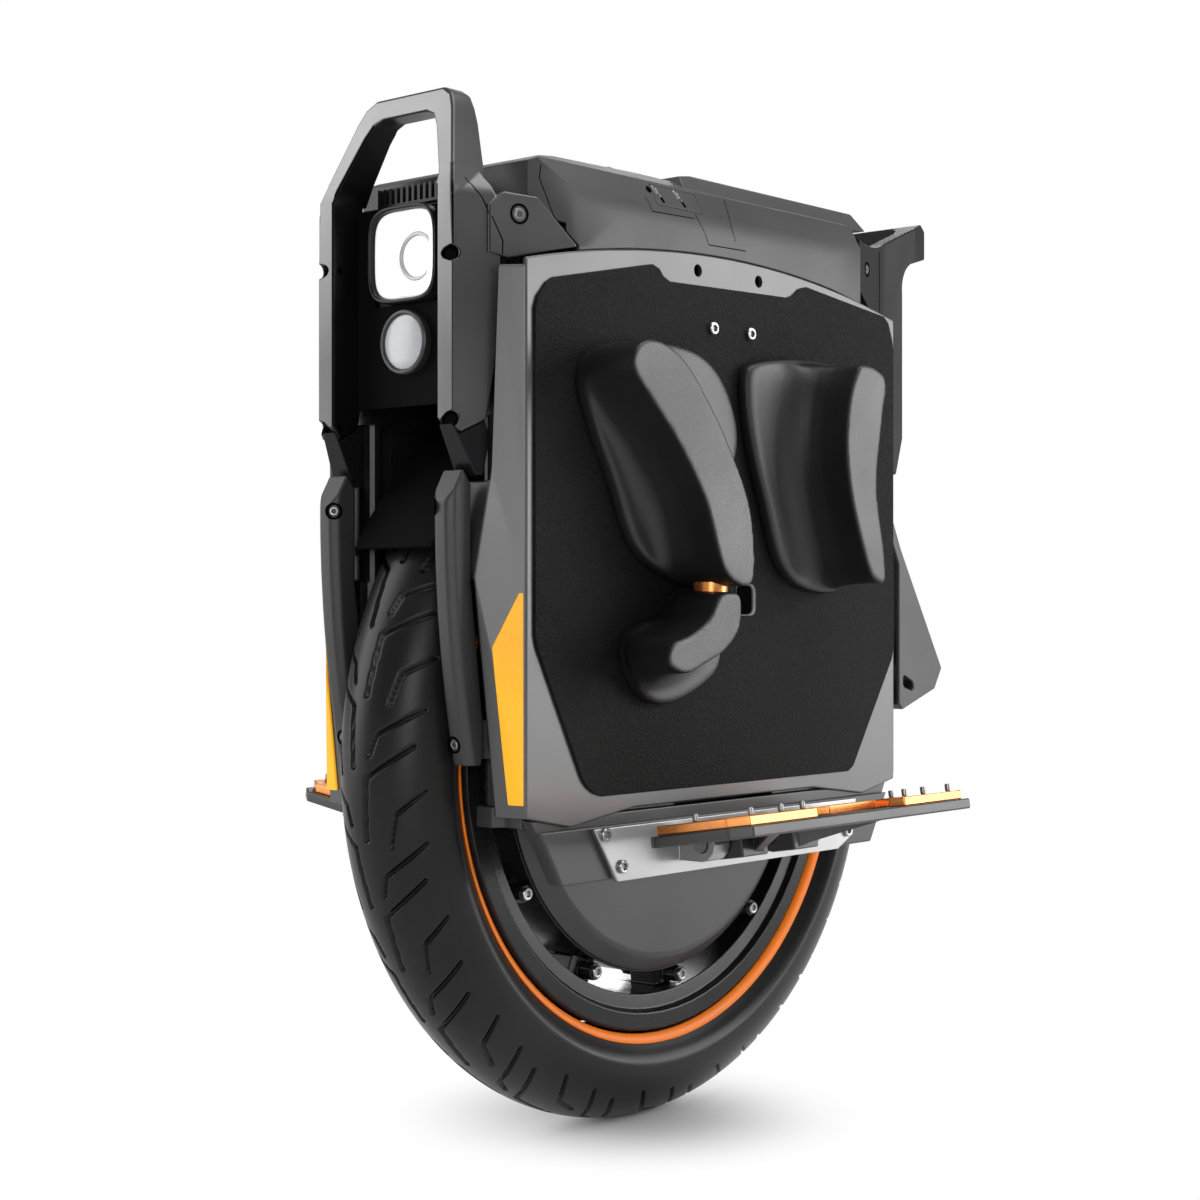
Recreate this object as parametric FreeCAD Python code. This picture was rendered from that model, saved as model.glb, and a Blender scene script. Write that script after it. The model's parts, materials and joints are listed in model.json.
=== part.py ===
import FreeCAD, Part
import math
import os

# Electric unicycle: a motor wheel on a sprung carriage, under a narrow body with
# fold-up pedals and leg pads. Millimetres, +X forwards, +Y to the rider's left,
# +Z up, origin on the ground under the wheel's centre.

# Fits and gaps
FIT = 0.05                # radial clearance of a bearing, pin or pressed sleeve
SLIDE = 0.4               # gap between faces that slide past each other
SEAT = 0.2                # gap between parts held together by others

# Tyre and rim
TYRE_RISE = 72.0          # tread above the bead seat
TYRE_HALF = 40.0          # half of the tyre's width
TYRE_WALL = 8.0
CROWN_T = 12.0            # rubber under the tread
CROWN_FACETS = 3          # facets from a shoulder to the middle of the tread
BEAD_R = 178.0            # a 14-inch rim's bead seat
BEAD_HALF = 21.0
FLANGE_RISE = 12.0
FLANGE_HALF = 31.0
RIM_T = 13.0              # bead seat to the inner face of the rim's barrel
LUG_SPACE = 15.0          # rim's barrel to the motor's drum
LUGS = 11
TURN_SIDES = 72           # flats round the tyre, the rim and the motor
PIN_SIDES = 16            # flats round the axle and the hinge pins
LUG_WIDTH = 17.0
LUG_HALF = 11.0           # half of a lug's length along the axle
BOSS_R = 6.0
BOSS_LENGTH = 11.0
VALVE_R = 3.2

# Hub motor
SHELL_WALL = 7.0
SHELL_HALF = 28.0
EAR_T = 5.0               # ear of the shell against a lug
COVER_SLOPE = 12.0        # flat face of a motor cover to the drum's edge
COVER_RISE = 10.0         # depth of a motor cover
MAGNETS = 36
MAGNET_T = 6.0
MAGNET_HALF = 20.0
AIR_GAP = 1.0
STATOR_HALF = 18.0
STATOR_SLOTS = 18
STATOR_TOOTH = 39.0
AXLE_R = 12.5
AXLE_SHOULDER_R = 18.0

# Suspension
TRAVEL = 60.0
ROD_R = 6.0
ROD_SIDES = 12            # flats round a rod and its bores
ROD_INSET = 7.0           # guide rods behind the fold of the side panel
EYE_R = 10.5              # carrier eye round a guide rod
EYE_LENGTH = 42.0
EYE_TOP = 112.0           # top of the eyes above the axle
CARRIER_T = 9.0
CARRIER_HALF = 34.0       # half height of a carrier at the axle
CLAMP_T = 20.0
ROD_FOOT_T = 13.0
SHOCK_ROD_R = 4.0
SHOCK_TUBE_R = 8.0
SPRING_R = 14.0
SPRING_WIRE = 4.0
SPRING_SEAT_T = 4.0
MUDGUARD_GAP = 6.0
MUDGUARD_T = 3.0
MUDGUARD_FRONT = 31.0     # degrees above the horizon, at the front edge
MUDGUARD_REAR = 140.0
MUDGUARD_FLATS = 22
STAY_INSET = 34.0         # mudguard's stays behind the guide rods
STAY_HALF = 10.0

# Body
WHEEL_GAP = 6.0           # tyre's side to the inner frame
FRAME_T = 3.0
BATTERY_T = 31.0
BATTERY_GAP = 27.0        # half of the gap between the front and rear packs
PANEL_WALL = 3.0
DECK_GAP = 7.0            # mudguard to deck with the suspension full up
DECK_T = 4.0
SEAM_X = 195.0            # fold from the flat side to the angled cheek
MAT_T = 2.0
REFLECTOR_T = 1.6
PAD_HEIGHT = 49.0
POST_R = 11.0
MOUNT_HOLE_R = 4.0
MOUNT_SPACING = 65.0
MOUNT_DROP = 11.5         # holes below the crest of the side panel
BOLT_R = 4.2
BOLT_HEAD = 2.5

# Pedals
HINGE_DROP = 54.0         # hinge axis below the axle
HINGE_OUT = 23.0          # hinge axis outside the side panel
HINGE_PIN_R = 5.0
KNUCKLE_R = 11.0
PEDAL_TILT = 9.0          # degrees, outer edge up
PEDAL_REACH = 90.0        # hinge axis to the outer edge
PEDAL_HALF = 128.0        # half length along the body
PEDAL_T = 7.0
PEDAL_LIFT = 2.0          # plate's underside above the hinge axis
GRIP_T = 6.0
STUD_R = 2.0
STUD_H = 5.0
HANGER_DROP = 73.0        # underside of the hanger below the axle
HANGER_T = 12.0
HANGER_PLATE_T = 4.0

# Hoops and lamps
HOOP_FRONT = 34.0         # front face ahead of the seam
HOOP_HALF = 59.0          # outer half width of the front face
HOOP_FACE = 13.0          # width of the front face
HOOP_RISE = 86.0          # top bar above the deck
LAMP_HALF = 28.0
LAMP_DROP = 13.0          # lamp's centre below the deck
PROJECTOR_R = 15.0
MARKER_R = 20.0
FINS = 14
FIN_T = 2.2
LENS_T = 5.0
COVER_HEIGHT = 51.0       # top of the cover above the deck
COVER_SHELL = 3.0
BUTTON_R = 9.0
BUTTON_TRAVEL = 1.5
BUTTON_X = 104.0
DOOR_LENGTH = 46.0
DOOR_T = 2.4
DOOR_X = 46.0
HANDLE_REACH = 113.0      # rear handle's tip behind the rear seam

# Places worked out from the sizes above
TYRE_R = BEAD_R + TYRE_RISE
FLANGE_R = BEAD_R + FLANGE_RISE
BARREL_R = BEAD_R - RIM_T
SHELL_R = BARREL_R - LUG_SPACE
LUG_CIRCLE_R = SHELL_R + 7.0
COVER_R = SHELL_R - COVER_SLOPE
COVER_Y = SHELL_HALF + COVER_RISE
AXLE_Z = TYRE_R
ROD_X = SEAM_X - ROD_INSET
STAY_X = ROD_X - STAY_INSET
ROD_Y = TYRE_HALF + 14.0
CARRIER_Y = ROD_Y + ROD_R + 1.0
FRAME_Y = TYRE_HALF + WHEEL_GAP
PANEL_Y = FRAME_Y + FRAME_T + BATTERY_T + 7.0
PANEL_IN = PANEL_Y - PANEL_WALL
MUDGUARD_R = TYRE_R + MUDGUARD_GAP + MUDGUARD_T
DECK_Z = AXLE_Z + MUDGUARD_R + TRAVEL + DECK_GAP
DECK_TOP = DECK_Z + DECK_T
SHELF_Z = AXLE_Z + CARRIER_HALF + TRAVEL + 4.0
CLAMP_Z = DECK_Z - 114.0
ROD_FOOT = AXLE_Z - 36.0
FOOT_Z = AXLE_Z - 29.0
VEE_Z = AXLE_Z - 37.0
HINGE_Y = PANEL_Y + HINGE_OUT
HINGE_Z = AXLE_Z - HINGE_DROP
HANGER_Z = AXLE_Z - HANGER_DROP
HANGER_OUT = PANEL_Y + 1.0
MAT_Y = PANEL_Y + MAT_T
SHOCK_Y = CARRIER_Y + CARRIER_T / 2
SPRING_TOP = DECK_Z - 70.0
SPRING_FOOT = AXLE_Z + CARRIER_HALF + 8.0 + SPRING_SEAT_T
HOOP_X = SEAM_X + HOOP_FRONT
HOOP_IN = HOOP_HALF - HOOP_FACE
HOOP_FOOT = DECK_Z - 126.0
GUARD_TOP = HOOP_FOOT - 21.0
PAD_Z = DECK_Z - 326.0
LAMP_Z = DECK_Z - LAMP_DROP
FRONT_PANEL_X = SEAM_X + 9.0
FRONT_PANEL_T = 4.0
FRONT_PANEL_FOOT = DECK_Z - 106.0
REAR_PANEL_X = -SEAM_X - 27.0
COVER_TOP = DECK_Z + COVER_HEIGHT
COVER_REAR = -SEAM_X + 38.0
CREST_DROP = 24.0         # fall of the panel's top edge from its middle to its ends
FLANGE_TIP_Y = BEAD_HALF + 6.0

V = FreeCAD.Vector
UP = V(0, 0, 1)
CHEEK_OUT = V(0.8, 0.6, 0)
AXLE_POINT = V(0, 0, AXLE_Z)
AXLE_LINE = V(0, 1, 0)


def face_from(steps, place):
    """Flat face from outline steps; a step of four values is an arc's end and its middle point."""
    edges = []
    here = place(*steps[0][:2])
    for step in steps[1:] + steps[:1]:
        there = place(*step[:2])
        if len(step) == 4:
            edges.append(Part.Arc(here, place(*step[2:]), there).toShape())
        elif (there - here).Length > 1e-6:
            edges.append(Part.makeLine(here, there))
        here = there
    return Part.Face(Part.Wire(edges))


def prism_x(steps, x0, x1):
    """Solid between two X planes, from an outline in (y, z)."""
    return face_from(steps, lambda y, z: V(x0, y, z)).extrude(V(x1 - x0, 0, 0))


def prism_y(steps, y0, y1):
    """Solid between two Y planes, from an outline in (x, z)."""
    return face_from(steps, lambda x, z: V(x, y0, z)).extrude(V(0, y1 - y0, 0))


def prism_z(steps, z0, z1):
    """Solid between two Z planes, from an outline in (x, y)."""
    return face_from(steps, lambda x, y: V(x, y, z0)).extrude(V(0, 0, z1 - z0))


def block(x0, x1, y0, y1, z0, z1):
    return Part.makeBox(x1 - x0, y1 - y0, z1 - z0, V(x0, y0, z0))


def turned(steps):
    """Solid turned about the axle, from an outline in (radius, y)."""
    face = face_from(steps, lambda r, y: V(r, y, AXLE_Z))
    return face.revolve(AXLE_POINT, AXLE_LINE, 360)


def turned_flats(steps):
    """Solid turned round the axle out of flats, from an outline in (radius, y)."""
    rings = []
    for r, y in steps:
        turns = [math.radians(360 * i / TURN_SIDES) for i in range(TURN_SIDES)]
        rings.append([V(r * math.cos(a), y, AXLE_Z + r * math.sin(a)) for a in turns])
    faces = []
    for ring, after in zip(rings, rings[1:] + rings[:1]):
        for i in range(TURN_SIDES):
            j = (i + 1) % TURN_SIDES
            faces.append(Part.Face(Part.makePolygon([ring[i], ring[j], after[j], after[i], ring[i]])))
    solid = Part.Solid(Part.makeShell(faces))
    if solid.Volume < 0:
        solid.reverse()
    return solid


def bar(start, end, radius):
    """Round bar between two points."""
    return Part.makeCylinder(radius, (end - start).Length, start, end - start)


def post(foot, direction, radius, height, sides=6):
    """Straight post with flat sides, such as a bolt head or a stud."""
    side = direction.cross(UP) if abs(direction.z) < 0.9 else V(1, 0, 0)
    side.normalize()
    corners = []
    for i in range(sides + 1):
        turn = FreeCAD.Rotation(direction, 360 / sides * (i % sides))
        corners.append(foot + turn.multVec(side * radius))
    tip = V(direction).normalize() * height
    return Part.Face(Part.makePolygon(corners)).extrude(tip)


def bore(start, end, radius, sides):
    """Cutter with flat sides that all stand at least a radius from its middle line."""
    way = end - start
    return post(start, way, radius / math.cos(math.pi / sides), way.Length, sides)


def shaft(start, end, radius, sides):
    """Straight shaft with flat sides inside a radius."""
    way = end - start
    return post(start, way, radius, way.Length, sides)


def about_axle(shape, degrees):
    """Copy of a shape, turned about the axle."""
    copy = shape.copy()
    copy.rotate(AXLE_POINT, AXLE_LINE, degrees)
    return copy


def mirrored(shape):
    """Right-hand copy of a left-hand piece."""
    return shape.mirror(V(0, 0, 0), V(0, 1, 0))


def mirrored_x(shape):
    """Rear copy of a front piece."""
    return shape.mirror(V(0, 0, 0), V(1, 0, 0))


def both(shape):
    return [shape, mirrored(shape)]


def four_corners(shape):
    return both(shape) + both(mirrored_x(shape))


def faceted(sections):
    """Solid through closed, flat sections of points, with flat facets between them."""
    outlines = [sections[0], sections[-1]]
    for low, high in zip(sections[:-1], sections[1:]):
        for i in range(len(low)):
            a, b, c, d = low[i - 1], low[i], high[i], high[i - 1]
            if abs((b - a).cross(c - a).normalize().dot(d - a)) < 1e-6:
                outlines.append([a, b, c, d])
            else:
                outlines += [[a, b, c], [a, c, d]]
    faces = [Part.Face(Part.makePolygon(points + points[:1])) for points in outlines]
    return Part.makeSolid(Part.makeShell(faces))


def fused(first, *others):
    return first.multiFuse(list(others)).removeSplitter() if others else first


def bevelled(corners, reach):
    """Outline with every corner cut off."""
    points = []
    for i, (x, y) in enumerate(corners):
        here = V(x, y, 0)
        for other in (corners[i - 1], corners[(i + 1) % len(corners)]):
            way = V(*other, 0) - here
            cut = here + way.normalize() * reach
            points.append((cut.x, cut.y))
    return points


def save(name, *solids):
    """One file for one piece, or for a group of like pieces."""
    shape = solids[0] if len(solids) == 1 else Part.makeCompound(list(solids))
    shape.exportStep("parts/" + name + ".step")


# Wheel

def sidewall_points(side):
    """Outer face of the tyre from the bead to below the shoulder, on the side given as +1 or -1."""
    return [
        (BEAD_R + SEAT, side * (BEAD_HALF - 8)),
        (BEAD_R + SEAT, side * (BEAD_HALF - SEAT)),
        (FLANGE_R, side * (FLANGE_TIP_Y - SEAT)),
        (FLANGE_R + 8, side * (TYRE_HALF - 8)),
    ]


def crown_points():
    """Facets over the crown from the left shoulder to the right one."""
    shoulder = TYRE_R - TYRE_HALF - 1
    points = []
    for i in range(2 * CROWN_FACETS + 1):
        angle = math.radians(90 * i / CROWN_FACETS)
        points.append((shoulder + (TYRE_R - shoulder) * math.sin(angle), TYRE_HALF * math.cos(angle)))
    return points


def tyre():
    """Hollow tyre, open at its beads."""
    shoulder = TYRE_R - TYRE_HALF - 1
    inner_y = TYRE_HALF - TYRE_WALL
    lining = [(shoulder, -inner_y), (TYRE_R - CROWN_T, 0), (shoulder, inner_y)]
    return turned_flats(sidewall_points(1) + crown_points() + sidewall_points(-1)[::-1] + lining)


def rim():
    """Flanged rim with lugs inside that carry the motor shell."""
    half = [
        (BEAD_R, BEAD_HALF), (FLANGE_R, FLANGE_TIP_Y), (FLANGE_R - 2, FLANGE_HALF), (BEAD_R - 1, FLANGE_HALF),
        (BEAD_R - 3, FLANGE_TIP_Y), (BARREL_R, FLANGE_TIP_Y - 1)]
    ring = turned_flats([(r, -y) for r, y in half[::-1]] + half)
    lug = block(SHELL_R + SEAT, BARREL_R + 2, -LUG_HALF, LUG_HALF,
                AXLE_Z - LUG_WIDTH / 2, AXLE_Z + LUG_WIDTH / 2)
    boss = post(V(LUG_CIRCLE_R, -LUG_HALF, AXLE_Z), -AXLE_LINE, BOSS_R, BOSS_LENGTH, 8)
    lug = lug.fuse(boss)
    return fused(ring, *[about_axle(lug, i * 360 / LUGS) for i in range(LUGS)])


def motor_shell():
    """Drum of the hub motor, with an ear and a boss against each lug of the rim."""
    inner_r = SHELL_R - SHELL_WALL
    drum = turned_flats([
        (inner_r, -SHELL_HALF), (SHELL_R, -SHELL_HALF), (SHELL_R, SHELL_HALF), (inner_r, SHELL_HALF)])
    ear_y = LUG_HALF + SEAT
    ear = block(SHELL_R - 2, LUG_CIRCLE_R + BOSS_R, ear_y, ear_y + EAR_T,
                AXLE_Z - LUG_WIDTH / 2, AXLE_Z + LUG_WIDTH / 2)
    boss = post(V(LUG_CIRCLE_R, ear_y + EAR_T, AXLE_Z), AXLE_LINE, BOSS_R, BOSS_LENGTH, 8)
    ear = ear.fuse(boss)
    return fused(drum, *[about_axle(ear, i * 360 / LUGS) for i in range(LUGS)])


def motor_cover():
    """Dished cover that closes one end of the drum and runs on the axle."""
    hub = AXLE_SHOULDER_R
    dish = turned_flats([(hub, SHELL_HALF), (hub, COVER_Y), (COVER_R, COVER_Y), (SHELL_R, SHELL_HALF)])
    plug = post(V(0, SHELL_HALF, AXLE_Z), AXLE_LINE, hub + 2, COVER_Y - SHELL_HALF, 24)
    return fused(dish, plug).cut(
        bore(V(0, SHELL_HALF - 1, AXLE_Z), V(0, COVER_Y + 1, AXLE_Z), AXLE_R + FIT, PIN_SIDES))


def ring_of_flats(radius, count):
    """Corners of a ring of flats, in (x, z)."""
    turns = [math.radians(360 * i / count) for i in range(count)]
    return [(radius * math.cos(a), AXLE_Z + radius * math.sin(a)) for a in turns]


def magnet_ring():
    """Ring of flat magnets inside the drum."""
    outer = (SHELL_R - SHELL_WALL) * math.cos(math.pi / TURN_SIDES) - FIT
    ring = prism_y(ring_of_flats(outer, MAGNETS), -MAGNET_HALF, MAGNET_HALF)
    return ring.cut(prism_y(ring_of_flats(outer - MAGNET_T, MAGNETS), -MAGNET_HALF, MAGNET_HALF))


def valve_stem():
    """Angle valve between two lugs, with its stem along the axle."""
    middle_r = (SHELL_R + BARREL_R) / 2 + 2
    start = V(middle_r, -BEAD_HALF + 6, AXLE_Z)
    collar = block(middle_r - VALVE_R - 1, BARREL_R * math.cos(math.pi / TURN_SIDES) - FIT, start.y, start.y + 8,
                   AXLE_Z - VALVE_R - 1, AXLE_Z + VALVE_R + 1)
    stem = post(start, -AXLE_LINE, VALVE_R, 20, 10)
    return about_axle(fused(collar, stem), 90 + 180 / LUGS)


def wheel_bolts():
    heads = []
    left = V(LUG_CIRCLE_R, LUG_HALF + SEAT + EAR_T + BOSS_LENGTH, AXLE_Z)
    right = V(LUG_CIRCLE_R, -LUG_HALF - BOSS_LENGTH, AXLE_Z)
    for i in range(LUGS):
        for seat, way in ((left, 1), (right, -1)):
            head = post(seat, AXLE_LINE * way, BOLT_R, BOLT_HEAD)
            heads.append(about_axle(head, i * 360 / LUGS))
    return heads


# Axle carriage

def axle():
    """Shaft through the wheel, with a shoulder against each carrier."""
    end = CARRIER_Y + CARRIER_T + 4
    shoulder = post(V(0, COVER_Y + 2, AXLE_Z), AXLE_LINE, AXLE_SHOULDER_R, CARRIER_Y - COVER_Y - 2, 8)
    middle = shaft(V(0, -end, AXLE_Z), V(0, end, AXLE_Z), AXLE_R, PIN_SIDES)
    return fused(middle, shoulder, mirrored(shoulder))


def stator():
    """Slotted core on the axle."""
    magnet_r = (SHELL_R - SHELL_WALL) * math.cos(math.pi / TURN_SIDES) - FIT - MAGNET_T
    outer = magnet_r * math.cos(math.pi / MAGNETS) - AIR_GAP
    corners = ring_of_flats(outer, 4 * STATOR_SLOTS)
    root = ring_of_flats(outer - STATOR_TOOTH, 4 * STATOR_SLOTS)
    outline = []
    for i in range(0, 4 * STATOR_SLOTS, 4):
        outline += [root[i], corners[i], corners[i + 2], root[i + 2]]
    core = prism_y(outline, -STATOR_HALF, STATOR_HALF)
    return core.cut(bore(V(0, -STATOR_HALF, AXLE_Z), V(0, STATOR_HALF, AXLE_Z), AXLE_R + FIT, PIN_SIDES))


def axle_carrier():
    """Left plate that clamps the axle and runs to an eye round each guide rod."""
    ends = ROD_X + ROD_R
    inner = ROD_X - EYE_R
    mid = CARRIER_HALF
    outline = [
        (-ends, -18), (-50, -mid), (50, -mid), (ends, -18), (ends, EYE_TOP), (inner, EYE_TOP),
        (inner, 24), (60, mid), (-60, mid), (-inner, 24), (-inner, EYE_TOP), (-ends, EYE_TOP)]
    plate = prism_y([(x, AXLE_Z + z) for x, z in outline], CARRIER_Y, CARRIER_Y + CARRIER_T)
    eyes = []
    bores = [bore(V(0, CARRIER_Y - 1, AXLE_Z), V(0, CARRIER_Y + CARRIER_T + 1, AXLE_Z), AXLE_R + FIT, PIN_SIDES)]
    for x in (ROD_X, -ROD_X):
        foot = V(x, ROD_Y, AXLE_Z + EYE_TOP - EYE_LENGTH)
        eyes.append(post(foot, UP, EYE_R, EYE_LENGTH, ROD_SIDES))
        bores.append(post(foot, UP, ROD_R + SLIDE, EYE_LENGTH, ROD_SIDES))
    return fused(plate, *eyes).cut(bores)


def mudguard():
    """Arched guard over the tyre, on stays that stand on the axle carriers."""
    inner = TYRE_R + MUDGUARD_GAP
    half = TYRE_HALF + 1.5
    section = [(inner - 8, half), (inner, half - 8), (inner, 8 - half), (inner - 8, -half),
               (inner - 6, -half), (MUDGUARD_R, 8 - half), (MUDGUARD_R, half - 8), (inner - 6, half)]
    rings = []
    for i in range(MUDGUARD_FLATS + 1):
        turn = math.radians(MUDGUARD_FRONT + i * (MUDGUARD_REAR - MUDGUARD_FRONT) / MUDGUARD_FLATS)
        rings.append([V(r * math.cos(turn), y, AXLE_Z + r * math.sin(turn)) for r, y in section])
    arch = faceted(rings)
    stay_y = half - 0.5
    stay_top = AXLE_Z + math.sqrt((inner - 7) ** 2 - (STAY_X - STAY_HALF) ** 2)
    stay_foot = AXLE_Z + 2
    strip = block(STAY_X - STAY_HALF, STAY_X + STAY_HALF, stay_y, stay_y + 3, stay_foot, stay_top)
    strip = strip.cut(turned([(inner - 7, 0), (inner + 60, 0), (inner + 60, half + 9), (inner - 7, half + 9)]))
    shoe = block(STAY_X - STAY_HALF, STAY_X + STAY_HALF, stay_y, CARRIER_Y, stay_foot, stay_foot + 16)
    return fused(arch, *four_corners(strip.fuse(shoe)))


def shock_rod():
    """Piston rod with a foot on the axle carrier and the spring's lower seat."""
    foot = V(0, SHOCK_Y, AXLE_Z + CARRIER_HALF)
    seat = post(V(0, SHOCK_Y, SPRING_FOOT - SPRING_SEAT_T), UP, SPRING_R, SPRING_SEAT_T, ROD_SIDES)
    return fused(post(foot, UP, SHOCK_ROD_R, SPRING_FOOT + 135 - foot.z, ROD_SIDES), seat)


# Sprung frame

def guide_rod():
    foot = V(ROD_X, ROD_Y, ROD_FOOT)
    return post(foot, UP, ROD_R, CLAMP_Z + CLAMP_T - foot.z, ROD_SIDES)


def bump_stop():
    """Rubber block under a rod clamp, for the top of a carrier's eye to meet."""
    foot = AXLE_Z + EYE_TOP + TRAVEL + SLIDE
    return block(ROD_X - EYE_R, ROD_X + EYE_R, ROD_Y + ROD_R + 1, ROD_Y + EYE_R, foot, CLAMP_Z)


def shock_body():
    """Damper tube under the deck, with the spring's upper seat."""
    foot = V(0, SHOCK_Y, SPRING_FOOT + 105)
    seat = post(V(0, SHOCK_Y, SPRING_TOP), UP, SPRING_R, SPRING_SEAT_T, ROD_SIDES)
    body = fused(post(foot, UP, SHOCK_TUBE_R, DECK_Z - foot.z, ROD_SIDES), seat)
    return body.cut(post(foot, UP, SHOCK_ROD_R + SLIDE, DECK_Z - 8 - foot.z, ROD_SIDES))


def shock_spring():
    foot = V(0, SHOCK_Y, SPRING_FOOT)
    outer = post(foot, UP, SPRING_R - 1, SPRING_TOP - SPRING_FOOT, ROD_SIDES)
    return outer.cut(post(foot, UP, SPRING_R - 1 - SPRING_WIRE, SPRING_TOP - SPRING_FOOT, ROD_SIDES))


def inner_frame():
    """Two plates beside the wheel under a deck, with clamps for the guide rods and battery shelves."""
    plate_x = ROD_X - EYE_R - 1
    plate = prism_y([
        (-plate_x, SHELF_Z), (plate_x, SHELF_Z), (plate_x, DECK_Z), (-plate_x, DECK_Z)],
        FRAME_Y, FRAME_Y + FRAME_T)
    shelf = block(CARRIER_HALF + 28, plate_x, FRAME_Y, FRAME_Y + FRAME_T + BATTERY_T, SHELF_Z, SHELF_Z + FRAME_T)
    clamp = block(plate_x - 2, ROD_X + ROD_R + 3, FRAME_Y, ROD_Y + EYE_R, CLAMP_Z, CLAMP_Z + CLAMP_T)
    clamp = clamp.cut(post(V(ROD_X, ROD_Y, CLAMP_Z), UP, ROD_R + FIT, CLAMP_T, ROD_SIDES))
    half = PANEL_IN - 1.5
    quarter = [(plate_x - 1.5, half - 26), (SEAM_X - 40, half - 18), (SEAM_X - 58, half)]
    plan = quarter + [(-x, y) for x, y in quarter[::-1]]
    deck = prism_z(plan + [(x, -y) for x, y in plan[::-1]], DECK_Z, DECK_TOP)
    return fused(deck, *both(plate), *four_corners(shelf), *four_corners(clamp))


def battery_pack():
    """Left front pack, on its shelf against the frame plate."""
    inner_y = FRAME_Y + FRAME_T
    return block(BATTERY_GAP, ROD_X - EYE_R - 4, inner_y, inner_y + BATTERY_T, SHELF_Z + FRAME_T, DECK_Z - 26)


def controller_board():
    board = block(-40, 84, -58, 58, DECK_TOP, DECK_TOP + 4)
    sink = block(-30, 60, -44, 44, DECK_TOP + 4, DECK_TOP + 20)
    return board.fuse(sink)


# Side panels and what is fixed to them

def fold_line(z):
    """Where the angled cheek of a side panel ends, in plan, at a height."""
    stops = [(VEE_Z, SEAM_X + 2.6, PANEL_Y - 22.4), (AXLE_Z + 113, SEAM_X + 21.5, PANEL_Y - 22.4),
             (GUARD_TOP + 2, SEAM_X + 13, PANEL_Y - 16), (DECK_Z - 22, SEAM_X + 10, PANEL_Y - 13)]
    for (z0, x0, y0), (z1, x1, y1) in zip(stops[:-1], stops[1:]):
        if z <= z1:
            share = (z - z0) / (z1 - z0)
            return V(x0 + share * (x1 - x0), y0 + share * (y1 - y0), z)
    return V(x1, y1, z)


def cheek_slab(low, high):
    """Slab that follows the left front cheek, between two heights off its outer face."""
    levels = (FOOT_Z, AXLE_Z + 113, GUARD_TOP + 2, DECK_Z - 26)
    prisms = []
    for z0, z1 in zip(levels[:-1], levels[1:]):
        seam0 = V(SEAM_X, PANEL_Y, z0)
        seam1 = V(SEAM_X, PANEL_Y, z1)
        for corners in ([seam0, fold_line(z0), fold_line(z1)], [seam0, fold_line(z1), seam1]):
            base = [corner + CHEEK_OUT * low for corner in corners]
            facet = Part.Face(Part.makePolygon(base + base[:1]))
            prisms.append(facet.extrude(CHEEK_OUT * (high - low)))
    return fused(*prisms)


def along(x):
    """Place along the body, given for a body whose folds are 195 mm from the middle."""
    return x * SEAM_X / 195


def panel_top(x):
    """Height of the side panel's arched top edge."""
    return DECK_Z - CREST_DROP * (x / (SEAM_X + 10)) ** 2


def side_panel():
    """Left side: a flat wall with angled cheeks and a front flange for the guard bar."""
    end_z = panel_top(SEAM_X)
    wall = prism_y([
        (SEAM_X, FOOT_Z), (SEAM_X, end_z), (-SEAM_X, end_z, 0, DECK_Z), (-SEAM_X, FOOT_Z),
        (along(-155), VEE_Z), (along(-95), FOOT_Z), (along(95), FOOT_Z), (along(155), VEE_Z)], PANEL_IN, PANEL_Y)
    cheek = cheek_slab(-PANEL_WALL, 0)
    flange_sections = []
    for z in (AXLE_Z + 113, GUARD_TOP - 7):
        fold = fold_line(z)
        inner = V(SEAM_X + 11, ROD_Y - 4, z)
        back = V(-PANEL_WALL, -1, 0)
        flange_sections.append([fold, inner, inner + back, fold + back])
    flange = faceted(flange_sections)
    tab_fold = fold_line(AXLE_Z + 6)
    tab = block(tab_fold.x - 5, tab_fold.x, ROD_Y - 8, tab_fold.y, AXLE_Z + 6, AXLE_Z + 29)
    panel = fused(wall, cheek, mirrored_x(cheek), flange, tab)
    holes = []
    for x in (MOUNT_SPACING / 2, -MOUNT_SPACING / 2):
        centre = V(x, PANEL_IN - 1, DECK_Z - MOUNT_DROP)
        holes.append(bar(centre, centre + AXLE_LINE * (PANEL_WALL + 2), MOUNT_HOLE_R))
    return panel.cut(holes)


def grip_mat():
    """Textured mat on the flat of the left side panel."""
    front = SEAM_X - 6
    rear = 3 - SEAM_X
    corners = [
        (front, AXLE_Z + 76), (front, DECK_Z - 47), (front - 13, DECK_Z - 32), (76, DECK_Z - 12),
        (67, DECK_Z - 22), (-67, DECK_Z - 19), (-81, DECK_Z - 9), (rear + 8, DECK_Z - 21), (rear, DECK_Z - 40),
        (rear, AXLE_Z + 61), (along(-139), AXLE_Z - 20), (along(132), AXLE_Z - 20), (along(145), AXLE_Z - 12)]
    return prism_y(bevelled(corners, 4), PANEL_Y, MAT_Y)


def side_reflector():
    """Amber reflector on the left cheek: broad at its shoulder, with a slanted top."""
    along = CHEEK_OUT.cross(UP)
    outline = []
    for z, share in ((-21, 0.08), (-21, 0.55), (73, 0.72), (105, 0.14), (105, 0.06)):
        seam = V(SEAM_X, PANEL_Y, AXLE_Z + z)
        spot = seam + (fold_line(AXLE_Z + z) - seam) * share
        outline.append((spot.dot(along), AXLE_Z + z))
    depth = V(SEAM_X, PANEL_Y, 0).dot(CHEEK_OUT) - PANEL_Y / 2
    face = face_from(outline, lambda t, z: along * t + UP * z + CHEEK_OUT * depth)
    return cheek_slab(SEAT, SEAT + REFLECTOR_T).common(face.extrude(CHEEK_OUT * PANEL_Y))


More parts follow.
